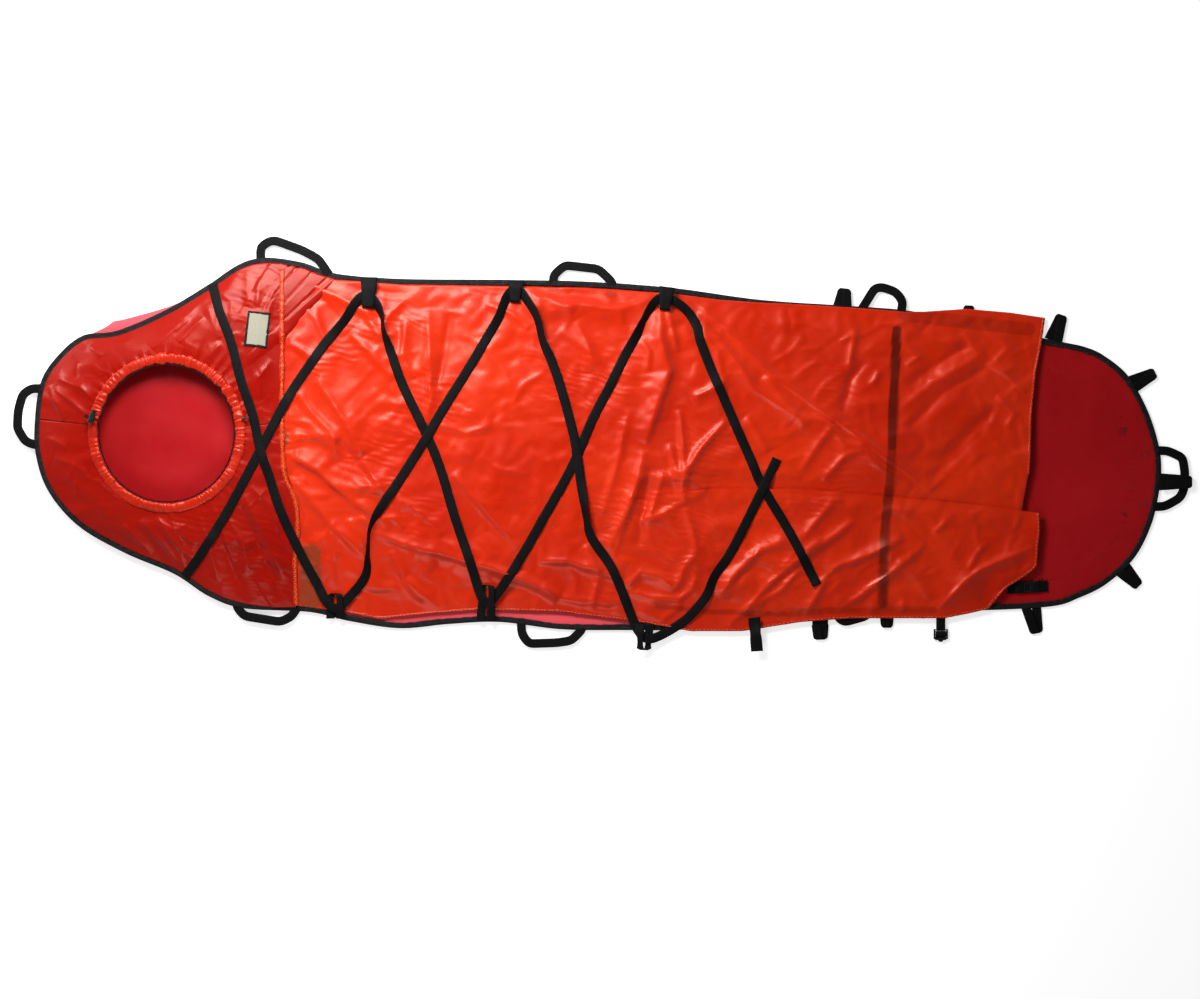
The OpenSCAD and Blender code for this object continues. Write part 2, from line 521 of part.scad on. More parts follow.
module handle_far_2() {
  handle([[-109, 304], [-107, 349], [-76, 376], [0, 368], [36, 334], [36, 304]],
    [[-90, 304], [-88, 342], [-71, 357], [-6, 349], [17, 326], [17, 304]], [-42, 332]);
}
module handle_far_3() {
  handle([[525, 252], [573, 328], [590, 330], [626, 319], [645, 292], [638, 252]],
    [[546, 252], [580, 309], [594, 311], [615, 302], [626, 288], [620, 252]], [588, 277]);
}
module handle_near_1() {
  handle([[-777, -326], [-773, -351], [-754, -378], [-670, -391], [-640, -378], [-613, -336]],
    [[-750, -326], [-750, -349], [-737, -361], [-670, -372], [-653, -363], [-638, -336]], [-697, -359]);
}
module handle_near_2() {
  handle([[-176, -368], [-174, -410], [-155, -437], [-88, -435], [-55, -430], [-25, -399], [-25, -368]],
    [[-155, -368], [-155, -403], [-143, -418], [-92, -416], [-65, -412], [-48, -395], [-48, -368]],
      [-105, -395]);
}
module handle_near_3() {
  handle([[483, -336], [489, -380], [508, -393], [565, -378], [588, -336]],
    [[504, -336], [508, -365], [517, -372], [554, -361], [565, -336]], [536, -361]);
}
module handle_foot() {
  handle([[1155, -13], [1193, -13], [1231, -32], [1237, -67], [1235, -107], [1226, -126],
    [1189, -149], [1155, -151]],
    [[1155, -32], [1189, -32], [1214, -42], [1218, -69], [1216, -103], [1208, -118], [1182, -130],
      [1155, -130]],
    [1178, -84]);
}

// Drawcord: round the inside of the face casing and up through the cord lock
lock_p = [-1058, 44];
lock_a = -20;
lock_z = face_h + 15;
cord_in = face_r[0] - cord_d / 2 - 0.7;
function cord_end(s) = let (d = [cos(lock_a), sin(lock_a)], m = left(d) * s * 1.9)
  [pt(lock_p + m - d * 15, lock_z), pt(lock_p + m - d * 8, lock_z), pt(lock_p + m, lock_z),
   pt(lock_p + m + d * 8, lock_z), pt(lock_p + m * 1.4 + d * 15, lock_z - 0.6)];
function cord_ring(a) = pt(face_p(a, -cord_d / 2 - 0.7), face_h + 1);
cord_line = concat(
  cord_end(1),
  [for (a = [158:-8:-170]) cord_ring(a)],
  back(cord_end(-1)));
module drawcord() {
  path = cord_line;
  n = len(path);
  color([0.12, 0.1, 0.1])
    sweep([for (i = [0:n - 1]) let (d = along(path, i), s = unit(cross([0, 0, 1], d)), u = cross(d, s))
      [for (k = [0:5]) path[i] + (s * cos(k * 60) + u * sin(k * 60)) * cord_d / 2]]);
}

// Cord lock: barrel with a cross hole, plunger with a slot that the cords pass
bore_d = lock_d - 3;
hole_d = 8;
module in_lock() {
  translate([lock_p[0], lock_p[1], lock_z]) rotate([0, 0, lock_a]) rotate([-90, 0, 0]) children();
}
module cord_lock_barrel() {
  color([0.06, 0.06, 0.06]) in_lock() difference() {
    translate([0, 0, -lock_len / 2]) cylinder(d = lock_d, h = lock_len, $fn = 48);
    translate([0, 0, 2 - lock_len / 2]) cylinder(d = bore_d, h = lock_len, $fn = 48);
    rotate([0, 90, 0]) cylinder(d = hole_d, h = 2 * lock_d, center = true, $fn = 48);
  }
}
module cord_lock_plunger() {
  color([0.1, 0.1, 0.1]) in_lock() difference() {
    union() {
      translate([0, 0, 2 - lock_len / 2 + lock_travel + 0.5])
        cylinder(d = bore_d - 0.6, h = lock_len, $fn = 48);
      translate([0, 0, lock_len / 2 + lock_travel + 0.6])
        cylinder(d = lock_d - 1, h = 3, $fn = 48);
    }
    translate([-lock_d, -2.2, -3.9]) cube([2 * lock_d, 4.4, 8.4 + lock_travel]);
  }
}

// Small bead and ring of cord at the foot side of the face opening
stop_p = [-735, 44];
module cord_end_stop() {
  z = max(lay_z(stop_p), face_h + 7) + 1.6;
  color([0.07, 0.07, 0.07]) {
    translate([stop_p[0], stop_p[1], z + 1]) rotate_extrude($fn = 48) translate([4.4, 0])
      circle(r = 1.1, $fn = 24);
    translate([stop_p[0] - 11, stop_p[1], z + 1]) rotate([0, 90, 0])
      cylinder(d = 5, h = 5, $fn = 36);
  }
}

// Strap hanging over the near hem
module hang_strap() {
  p = [323, -372];
  color([0.07, 0.07, 0.08])
    translate([p[0], p[1], lay_z(p) - web_t / 2 + 0.6]) rotate([0, 0, -86])
      linear_extrude(web_t) polygon([[0, -12], [30, -9], [42, -12], [71, -13], [72, 13],
        [41, 12], [29, 10], [0, 12]]);
}

// Adjuster: folded tab from the rim and a moulded ladder frame on it
lad_p = [715, -377];
lad_z = base_t + rise(lad_p) + gap + bind_t - web_t - bend_gap / 2;
lad_tab = 22;
module ladder_lock_tab() {
  color([0.07, 0.07, 0.08]) placed(lad_p + [0, -clear], -90, lad_z - 2.9)
    hairpin(lad_tab, 5.8, 19);
}
module ladder_lock() {
  color([0.05, 0.05, 0.05]) placed(lad_p + [0, 2.9 - clear - lad_tab], -90, lad_z)
    difference() {
      union() {
        rotate([90, 0, 0]) cylinder(d = 2, h = 30, center = true, $fn = 32);
        for (s = [-1, 1]) translate([0, s * 13.2 - 1.8, -1.8]) cube([20, 3.6, 3.6]);
        translate([9.4, -13, -1.8]) cube([3, 26, 3.6]);
        translate([17, -13, -1.8]) cube([3.4, 26, 3.6]);
        translate([20, 0, -1.8]) cylinder(d = 12, h = 3.6, $fn = 48);
      }
      translate([13.6, -9.8, -5]) cube([3.2, 19.6, 10]);
    }
}

// Strap across the inside of the base under the flaps
module cross_strap() {
  line = [[622, 229], [615, 92], [611, -13], [605, -105], [598, -168], [594, -244], [592, -328]];
  edge = [[-340, 2.2], [-300, 0], [160, 0], [240, 2.2]];
  path = curve(line, 2);
  rows = [for (i = [0:len(path) - 1]) let (s = left(along(path, i)) * web_w / 2,
      z = base_t + gap + lookup(path[i][1], edge))
    [pt(path[i] - s, z), pt(path[i] + s, z)]];
  color([0.1, 0.1, 0.1]) slab(lifted(rows, web_t), rows);
}

// Tab stitched flat on the base near the foot: a band with a slot at its middle
module keeper_tab() {
  color([0.07, 0.07, 0.08]) translate([897, -309, base_t + gap + 1.1]) rotate([0, 0, 3])
    difference() {
      translate([-43, -12, 0]) cube([86, 24, 4.2]);
      translate([-24, -20, web_t]) cube([14, 40, 1.2]);
      translate([10, -20, web_t]) cube([14, 40, 1.2]);
      translate([24, -20, 1.8]) cube([30, 40, 4]);
      translate([-60, -20, 1.8]) cube([36, 40, 4]);
    }
}

// Bare label with a sewn black border
lab_p = [-715, 230];
lab_z = lay_z(lab_p) + 1.2;
module label_patch() {
  color([0.74, 0.72, 0.65]) translate([lab_p[0], lab_p[1], lab_z]) rotate([0, 0, -6])
    translate([-20, -33, 0]) cube([40, 66, 0.8]);
}
module label_border() {
  color([0.07, 0.07, 0.08]) translate([lab_p[0], lab_p[1], lab_z]) rotate([0, 0, -6])
    difference() {
      translate([-24, -37, 0]) cube([48, 74, 1.2]);
      translate([-20.2, -33.2, -1]) cube([40.4, 66.4, 4]);
    }
}

// Fastening patches inside the cover, following its underside
module under_patch(x0, x1, y0, y1, n, m) {
  rows = [for (i = [0:n]) [for (j = [0:m]) let (p = [mix(x0, x1, i / n), mix(y0, y1, j / m)])
    pt(p, min([for (s = spread) top_z(p + s)]) - 4.5)]];
  slab(lifted(rows, 1.2), rows);
}
module seam_patch() {
  color([0.35, 0.16, 0.08]) under_patch(-729, -672, -19, 21, 3, 2);
}
module side_patch() {
  color([0.35, 0.16, 0.08]) under_patch(-628, -582, -336, -233, 3, 5);
}

// Box stitches on the base where the foot handle is sewn underneath
module box_stitches() {
  color([0.1, 0.03, 0.03])
    for (p = [[1143, -32], [1140, -134]]) translate([p[0], p[1], base_t + 0.1])
      translate([-8, -8, 0]) difference() {
        cube([16, 16, 0.6]);
        translate([1.5, 1.5, -1]) cube([13, 13, 3]);
      }
}

base_sheet();
foot_flap();
binding_main();
binding_foot();
hood_far_panel();
hood_near_panel();
hood_hem();
far_flap();
near_flap();
face_casing();
drawcord();
cord_lock_barrel();
cord_lock_plunger();
cord_end_stop();
lacing_strap_a();
lacing_strap_b();
lace_loops_far();
lace_loops_near();
loop_far_shin();
loop_far_ankle();
loop_near_shin();
loop_near_ankle();
foot_loop_far();
foot_loop_far_end();
foot_loop_end();
foot_loop_near_end();
foot_loop_near();
near_anchors();
hang_strap();
ladder_lock();
ladder_lock_tab();
handle_head();
handle_far_1();
handle_far_2();
handle_far_3();
handle_near_1();
handle_near_2();
handle_near_3();
handle_foot();
cross_strap();
keeper_tab();
label_patch();
label_border();
seam_patch();
side_patch();
box_stitches();
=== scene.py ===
"""Soft rescue drag sled: looks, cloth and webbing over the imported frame.

Tables are in millimetres and meshes in metres. The head is at -X, the foot at +X, the far side at +Y.
"""
import bpy
import bmesh
import json
import math
import random
import numpy as np
from bpy.props import FloatProperty, FloatVectorProperty, IntProperty, PointerProperty
from bpy.types import Operator, Panel, PropertyGroup
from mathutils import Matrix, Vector, noise
from mathutils.bvhtree import BVHTree


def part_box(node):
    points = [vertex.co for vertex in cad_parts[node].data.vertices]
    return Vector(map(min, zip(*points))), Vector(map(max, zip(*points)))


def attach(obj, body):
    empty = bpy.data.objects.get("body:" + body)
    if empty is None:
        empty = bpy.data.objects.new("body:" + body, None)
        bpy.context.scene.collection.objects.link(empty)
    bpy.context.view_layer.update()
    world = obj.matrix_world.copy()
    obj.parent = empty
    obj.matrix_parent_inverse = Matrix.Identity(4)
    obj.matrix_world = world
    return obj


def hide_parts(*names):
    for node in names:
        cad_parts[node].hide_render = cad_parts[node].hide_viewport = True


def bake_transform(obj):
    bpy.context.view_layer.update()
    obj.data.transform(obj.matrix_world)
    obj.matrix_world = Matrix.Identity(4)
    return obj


bl_info = {
    "name": "Rescue drag sled",
    "version": (1, 0, 0),
    "blender": (4, 5, 0),
    "location": "3D View > Sidebar > Sled",
    "description": "Builds the cloth, webbing and fittings of a laced rescue sled",
    "category": "Object",
}

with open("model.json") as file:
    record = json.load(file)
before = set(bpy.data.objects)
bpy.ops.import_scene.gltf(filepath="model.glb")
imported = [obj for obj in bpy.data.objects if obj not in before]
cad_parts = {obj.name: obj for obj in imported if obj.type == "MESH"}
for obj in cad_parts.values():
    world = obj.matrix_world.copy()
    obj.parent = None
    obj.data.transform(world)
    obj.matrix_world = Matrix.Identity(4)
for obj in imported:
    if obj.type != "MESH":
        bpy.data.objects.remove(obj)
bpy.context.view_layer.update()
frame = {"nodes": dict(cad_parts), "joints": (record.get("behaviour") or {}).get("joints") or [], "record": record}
MM = 0.001
JOINTS = {joint["child"]: joint for joint in frame["joints"]}
SURFACES = []


# Sheets and edges of the sled, as the cutter would note them

BASE_T, GAP, BIND_T, CROWN_H = 1.5, 0.4, 3.0, 24.0
FACE_C, FACE_R, FACE_H, CASE_W = (-903, 13), (143, 145), 44.0, 22.0
MAIN_LINE = [
    (978, 204), (882, 223), (735, 254), (640, 272), (525, 281), (336, 294), (151, 319), (-25, 332),
    (-210, 336), (-420, 338), (-554, 349), (-624, 372), (-701, 382), (-756, 368), (-819, 326),
    (-907, 273), (-1008, 229), (-1084, 218), (-1138, 174), (-1172, 120), (-1184, 42), (-1182, -32),
    (-1155, -109), (-1092, -181), (-995, -237), (-892, -281), (-819, -328), (-746, -353), (-609, -361),
    (-525, -380), (-420, -395), (-315, -386), (-210, -382), (-84, -397), (42, -399), (189, -397),
    (336, -376), (483, -363), (672, -359), (819, -357), (949, -349),
]
FOOT_LINE = [
    (1004, -332), (1063, -302), (1121, -248), (1157, -178), (1174, -105), (1178, -52), (1170, 0),
    (1147, 67), (1107, 136), (1056, 178), (1018, 195),
]
RISE = [(-1190, 10), (-1000, 13), (-800, 11), (-650, 5), (-400, 3), (600, 2.5), (930, 0.6), (960, 0)]
ROLL = [(-1085, 0), (-1060, 0.55), (-1015, 1), (-960, 0.85), (-900, 0.6), (-850, 0.4), (-812, 0),
        (-570, 0), (-545, 0.42), (-475, 0.36), (-450, 0), (-395, 0.34), (-280, 0.34), (-250, 0)]
ROLL_D = 24.0
FAR_EDGE = [(-666, 365), (-624, 359), (-554, 336), (-420, 326), (-210, 323), (-25, 319), (151, 307),
            (252, 294), (336, 288), (386, 286), (475, 281), (563, 275), (640, 269), (680, 269), (769, 275),
            (861, 267), (934, 256)]
NEAR_EDGE = [(-666, -344), (-536, -361), (-462, -376), (-357, -365), (-252, -357), (-84, -361), (0, -372),
             (84, -382), (189, -401), (298, -401), (420, -382), (525, -374), (722, -374), (769, -365),
             (813, -355)]
LAP_EDGE = [(-666, -153), (-378, -136), (-126, -126), (84, -124), (225, -103), (420, -103), (594, -118),
            (769, -134), (920, -153)]
FAR_END = [(-220, 878), (-143, 888), (-69, 901), (48, 905), (139, 914), (189, 924), (256, 934)]
NEAR_END = [(-355, 813), (-332, 832), (-307, 855), (-281, 897), (-265, 916), (-223, 918), (-191, 922),
            (-153, 920)]
HEM_LINE = [(-351, -636), (-260, -638), (-189, -632), (-128, -636), (-67, -659), (44, -664), (176, -664),
            (370, -666)]
CROWN = [(-1190, 0.2), (-900, 1), (-660, 1), (-300, 0.95), (200, 0.85), (600, 0.55), (940, 0.25)]

# Folds of the cloth: path, height, width to the left of the path, width to its right
COVER_FOLDS = [
    ([(-649, 365), (-596, 321), (-548, 298), (-491, 265), (-458, 208)], 6, 22, 10),
    ([(-596, 126), (-559, 78), (-523, 21), (-496, -32)], 7, 20, 10),
    ([(-523, 223), (-477, 178), (-433, 126)], 6, 18, 9),
    ([(-410, 294), (-439, 265), (-456, 231)], 3, 11, 11),
    ([(-361, 275), (-357, 178), (-353, 88), (-365, 32)], 7, 16, 9),
    ([(-313, 265), (-328, 178), (-342, 103)], -7, 14, 14),
    ([(-403, 258), (-414, 178), (-395, 126)], 5, 14, 9),
    ([(-634, 97), (-596, 50), (-559, 13), (-548, -32)], 5, 14, 9),
    ([(-155, 319), (-116, 302), (-52, 269)], 5, 16, 10),
    ([(-242, 284), (-185, 265), (-147, 231)], 4, 12, 9),
    ([(-334, 29), (-279, 13), (-223, 29)], 4, 14, 10),
    ([(-664, -23), (-590, -63), (-559, -94), (-514, -128), (-470, -158), (-439, -187)], 8, 26, 11),
    ([(-649, -78), (-605, -124), (-563, -176), (-529, -210), (-489, -248)], 8, 20, 11),
    ([(-500, -42), (-462, -97), (-439, -116)], 7, 18, 10),
    ([(-548, 0), (-496, -61), (-470, -105)], -6, 14, 14),
    ([(-470, -195), (-410, -220), (-334, -239), (-281, -254), (-223, -273), (-147, -300), (-84, -330)], 9, 24, 11),
    ([(-309, -71), (-275, -109), (-237, -149), (-185, -210), (-170, -229)], 8, 20, 10),
    ([(-428, -120), (-386, -147), (-346, -176), (-334, -202)], 5, 14, 9),
    ([(-424, -128), (-416, -139), (-405, -149)], 3, 7, 6),
    ([(-454, -162), (-430, -166), (-410, -187)], 3, 8, 6),
    ([(-525, -166), (-510, -193), (-491, -225)], 5, 9, 7),
    ([(-506, -162), (-489, -170), (-472, -187)], 5, 9, 7),
    ([(-439, -233), (-395, -311), (-349, -359)], 6, 14, 9),
    ([(-401, -286), (-370, -323), (-334, -357)], 4, 11, 9),
    ([(-252, -254), (-176, -286), (-84, -326)], 5, 11, 9),
    ([(-168, 323), (-126, 296), (-82, 290), (40, 275), (84, 290), (113, 302)], 10, 13, 28),
    ([(126, 286), (128, 210), (145, 143), (118, 61), (94, -8)], 11, 12, 26),
    ([(141, 277), (151, 231), (162, 185)], 6, 9, 8),
    ([(84, 210), (101, 185), (99, 143)], 5, 9, 9),
    ([(174, 309), (220, 269), (286, 210), (361, 134), (420, 94), (458, 65), (496, 40), (544, 6),
      (592, -32), (645, -69), (697, -111)], 7, 24, 9),
    ([(200, 262), (271, 185), (323, 109), (399, 57), (477, 36), (510, -6), (544, -13), (588, -55),
      (630, -82), (682, -120)], 6, 9, 22),
    ([(193, 86), (233, 105), (265, 128)], 6, 12, 12),
    ([(145, -8), (160, -67), (178, -128)], 7, 8, 10),
    ([(166, 63), (174, -8), (174, -76), (178, -124)], 7, 7, 9),
    ([(265, 42), (212, -15), (181, -61), (181, -82), (223, -105)], 9, 14, 10),
    ([(61, 67), (36, -52), (0, -168)], 5, 18, 13),
    ([(94, -23), (84, -67), (55, -149), (17, -233)], 9, 10, 18),
    ([(92, -67), (61, -149), (27, -248)], 4, 7, 7),
    ([(105, -57), (88, -158), (80, -225)], -7, 14, 14),
    ([(132, -67), (107, -149), (84, -176)], 6, 14, 9),
    ([(304, 48), (332, 8), (351, -25)], 5, 16, 13),
    ([(342, 134), (388, 80), (428, 29)], 4, 12, 12),
    ([(777, 200), (714, 164), (645, 113)], -6, 22, 22),
    ([(832, 164), (720, 99), (645, 23)], -6, 24, 22),
    ([(832, 69), (758, -6), (691, -82)], -7, 22, 22),
    ([(808, 185), (693, 116), (630, 63)], 4, 18, 18),
    ([(559, 166), (525, 126), (506, 55)], -5, 16, 16),
    ([(502, 204), (533, 223), (521, 145)], 5, 9, 9),
    ([(567, 113), (580, 130), (586, 145)], 4, 8, 7),
    ([(811, 160), (850, 139), (892, 99)], 4, 8, 7),
    ([(832, 92), (869, 55), (850, 23)], 4, 8, 8),
    ([(420, -65), (454, -13), (487, 32)], 6, 16, 11),
    ([(466, -84), (514, -32), (550, -25)], 5, 14, 9),
    ([(630, 210), (668, 174), (640, 155)], 4, 8, 7),
    ([(-630, 294), (-592, 248), (-563, 185)], 4, 13, 9),
    ([(-657, 200), (-630, 191), (-596, 164)], 5, 14, 10),
    ([(-252, 210), (-200, 143), (-168, 63)], 3, 18, 14),
    ([(-84, 231), (-21, 185), (25, 113)], 5, 20, 13),
    ([(-52, 248), (-25, 200), (-17, 143)], 4, 14, 11),
    ([(-252, -32), (-210, -63), (-147, -76)], 3, 16, 12),
    ([(210, 231), (244, 185), (256, 126)], 4, 12, 10),
    ([(294, -52), (336, -63), (420, -80)], 3, 14, 12),
    ([(-638, -200), (-617, -252), (-584, -294)], 4, 12, 9),
    ([(428, -239), (502, -195), (533, -166)], 7, 18, 10),
    ([(477, -277), (502, -262), (559, -244), (607, -220), (634, -206)], 7, 16, 9),
    ([(430, -368), (454, -326), (477, -286)], 6, 14, 10),
    ([(496, -359), (548, -326), (607, -281), (682, -218)], 7, 16, 10),
    ([(706, -359), (758, -300), (796, -271), (850, -248), (911, -225)], 9, 11, 24),
    ([(773, -271), (788, -239), (811, -214)], 5, 9, 7),
    ([(697, -195), (712, -183), (727, -168)], 4, 7, 7),
    ([(420, -210), (458, -164), (487, -130), (506, -124)], 6, 16, 10),
    ([(388, -210), (332, -233), (286, -277), (250, -323)], 8, 10, 18),
    ([(462, -206), (414, -252), (361, -296), (304, -357), (267, -391)], 9, 10, 20),
    ([(422, -267), (380, -315), (304, -357)], 5, 9, 9),
    ([(-126, -254), (-69, -254), (-2, -277), (46, -292)], 8, 20, 10),
    ([(-32, -220), (-15, -252), (2, -277)], 6, 9, 12),
    ([(-126, -315), (-97, -330), (-40, -342), (32, -342), (55, -340)], 6, 16, 9),
    ([(-2, -286), (-10, -315), (-17, -340)], 5, 9, 9),
    ([(178, -143), (193, -187), (204, -239)], 6, 8, 10),
    ([(204, -239), (178, -262), (160, -311)], 6, 10, 10),
    ([(55, -307), (84, -277), (128, -286), (160, -315)], 7, 12, 12),
    ([(61, -319), (105, -330), (166, -334), (189, -315), (204, -286)], 6, 9, 10),
    ([(76, -357), (128, -378), (170, -349)], 5, 9, 9),
    ([(84, -178), (174, -130), (227, -105)], 5, 11, 14),
    ([(620, -252), (662, -284), (693, -336)], 4, 14, 12),
    ([(630, -338), (636, -349), (640, -359)], 4, 7, 7),
]
HOOD_FOLDS = [
    ([(-1153, 113), (-1130, 61), (-1117, 42)], 5, 10, 8),
    ([(-1140, 107), (-1100, 76), (-1069, 50)], 5, 12, 8),
    ([(-1134, 128), (-1084, 109), (-1050, 76)], 6, 14, 9),
    ([(-1069, 197), (-1054, 185), (-1040, 174)], 3, 10, 9),
    ([(-815, 309), (-890, 231), (-934, 189)], 5, 14, 12),
    ([(-827, 256), (-857, 227), (-878, 202)], 3, 8, 8),
    ([(-790, 200), (-806, 185), (-823, 164)], 5, 12, 10),
    ([(-739, 355), (-737, 315), (-735, 277)], 3, 10, 9),
    ([(-714, 342), (-714, 311), (-716, 277)], 3, 9, 9),
    ([(-682, 317), (-689, 284), (-695, 250)], 4, 10, 9),
    ([(-685, 166), (-710, 130), (-710, 84)], 4, 12, 12),
    ([(-995, -178), (-964, -212), (-939, -239)], 5, 11, 9),
    ([(-958, -168), (-911, -220), (-874, -273)], 6, 13, 9),
    ([(-924, -160), (-886, -220), (-848, -250)], 6, 13, 9),
    ([(-878, -197), (-861, -208), (-844, -220)], 3, 7, 6),
    ([(-773, -168), (-743, -220), (-739, -281)], 6, 14, 10),
    ([(-743, -116), (-710, -183), (-672, -265), (-651, -296)], 7, 15, 10),
    ([(-729, -97), (-687, -139), (-668, -197)], 5, 13, 9),
    ([(-785, -220), (-762, -288), (-735, -340)], -6, 14, 14),
    ([(-750, -139), (-714, -220), (-680, -296), (-668, -334)], -6, 13, 13),
    ([(-1174, -34), (-1163, -44), (-1153, -55)], 3, 9, 8),
    ([(-1168, 4), (-1140, -2), (-1111, -19)], 4, 12, 9),
    ([(-1140, -40), (-1105, -50), (-1069, -71)], 4, 14, 10),
    ([(-1054, -82), (-1021, -109), (-987, -134)], 4, 9, 9),
    ([(-1029, -220), (-945, -252), (-861, -284)], -3, 18, 18),
    ([(-830, 294), (-811, 256), (-794, 210)], 3, 14, 14),
    ([(-903, -122), (-884, -193), (-869, -277)], 4, 6, 8),
    ([(-842, -132), (-819, -206), (-798, -294)], 5, 6, 8),
    ([(-811, -126), (-788, -185), (-766, -256)], 4, 6, 7),
]
# The broad forms that the solids of the cover also have: from, to, height, half width
BROAD_FOLDS = [
    ((-647, 326), (-521, 0), 6, 30), ((-592, 294), (-437, -63), -5, 30), ((-521, 84), (-479, -210), 6, 30),
    ((-479, 273), (-336, 21), 6, 26), ((-420, -63), (-357, -336), 5, 28), ((-178, 294), (-273, 42), 6, 28),
    ((-168, 294), (-84, 84), 5, 26), ((-378, -220), (-84, -252), 5, 24), ((-315, -315), (84, -294), -4, 24),
    ((141, 273), (84, -63), 8, 26), ((134, 269), (10, 42), 5, 26), ((63, -126), (38, -378), 6, 28),
    ((151, 269), (252, 84), 7, 26), ((189, 242), (420, 52), 8, 24), ((420, 52), (693, -109), 6, 26),
    ((294, 231), (462, 105), -4, 28), ((210, 42), (193, -84), 6, 28), ((546, -63), (840, 189), 5, 34),
    ((651, -84), (907, 84), -4, 34), ((189, -336), (525, -136), 7, 26), ((357, -361), (630, -220), 6, 24),
    ((630, -361), (903, -210), 6, 26), ((-84, 231), (0, -42), -4, 30), ((-420, 210), (-357, 42), -4, 28),
]
BROAD_HOOD = [
    ((-1113, -63), (-945, -252), 5, 22), ((-903, -168), (-777, -252), 6, 20), ((-746, -105), (-662, -252), 6, 22),
    ((-1134, 84), (-1075, 116), 4, 16), ((-1060, 168), (-987, 210), 4, 18), ((-861, 210), (-808, 273), 4, 20),
    ((-724, 126), (-710, 315), 5, 20), ((-766, -126), (-710, -304), -4, 20),
]

# Webbing: path points with the roll of the band in degrees
STRAP_A = [
    (-811, 326, 0), (-796, 273, 0), (-769, 202, 0), (-748, 122, 0), (-724, 52, 0), (-708, -21, 0),
    (-689, -80, 0), (-664, -155, 0), (-632, -225, 0), (-594, -298, 0), (-573, -338, 0), (-552, -353, 0),
    (-529, -334, 0), (-491, -286, 25), (-485, -235, 70), (-479, -183, 70), (-452, -134, 10), (-418, -84, 0),
    (-370, -8, 0), (-319, 78, 0), (-277, 145, 0), (-242, 204, 0), (-212, 256, 20), (-195, 300, 20),
    (-176, 315, 0), (-158, 300, 20), (-132, 256, 40), (-120, 208, 40), (-101, 164, 0), (-80, 103, 0),
    (-57, 17, 0), (-48, -32, 0), (-40, -90, 10), (-29, -162, 50), (-17, -206, 10), (23, -265, 0),
    (50, -328, 0), (76, -393, 0), (97, -416, 0), (122, -412, 0), (160, -391, 0), (189, -368, 0),
    (223, -326, 0), (239, -286, 20), (275, -233, 0), (326, -132, 0), (346, -90, 0), (370, -40, 0),
]
STRAP_B = [
    (-869, -286, 0), (-836, -244, 0), (-792, -176, 0), (-752, -105, 0), (-708, -21, 0), (-651, 88, 0),
    (-605, 158, 0), (-571, 206, 0), (-536, 248, 20), (-510, 288, 12), (-491, 302, 0), (-470, 288, 12),
    (-456, 258, 60), (-452, 227, 60), (-435, 178, 10), (-410, 109, 0), (-361, 8, 0), (-332, -65, 0),
    (-302, -166, 10), (-273, -250, 0), (-252, -319, 0), (-237, -342, 0), (-220, -328, 0), (-195, -294, 0),
    (-155, -229, 0), (-113, -155, 0), (-76, -90, 0), (-48, -34, 0), (-15, 44, 0), (19, 109, 0),
    (50, 172, 0), (76, 218, 20), (92, 252, 50), (113, 286, 20), (134, 298, 0), (155, 290, 20),
    (181, 271, 20), (202, 239, 0), (210, 206, 0), (235, 141, 0), (269, 63, 0), (315, -42, 0),
    (340, -99, 0), (397, -195, 0), (454, -304, 0),
]
# Edge loops that carry the lacing: root, direction in degrees, reach, width at the root, at the tip
LACE_LOOPS = {
    "lace_loops_far": [((-483, 342), -92, 66, 44, 27), ((-176, 334), -93, 46, 42, 22), ((141, 321), -97, 50, 40, 24)],
    "lace_loops_near": [((-554, -376), 90, 54, 40, 34), ((-239, -382), 88, 78, 40, 36), ((94, -384), -92, 56, 38, 30)],
}
# Free loops: root, direction, reach, width at the root, width at the tip
FREE_LOOPS = {
    "loop_far_shin": ((509, 282), 83, 36, 38, 24),
    "loop_far_ankle": ((773, 248), 88, 34, 24, 19),
    "loop_near_shin": ((462, -393), -88, 26, 34, 27),
    "loop_near_ankle": ((602, -378), -90, 16, 27, 22),
    "foot_loop_far": ((953, 213), 71, 52, 36, 21),
    "foot_loop_far_end": ((1120, 118), 27, 51, 36, 21),
    "foot_loop_end": ((1178, -88), 0, 64, 34, 23),
    "foot_loop_near_end": ((1101, -275), -46, 44, 36, 21),
    "foot_loop_near": ((906, -355), -78, 52, 40, 25),
}
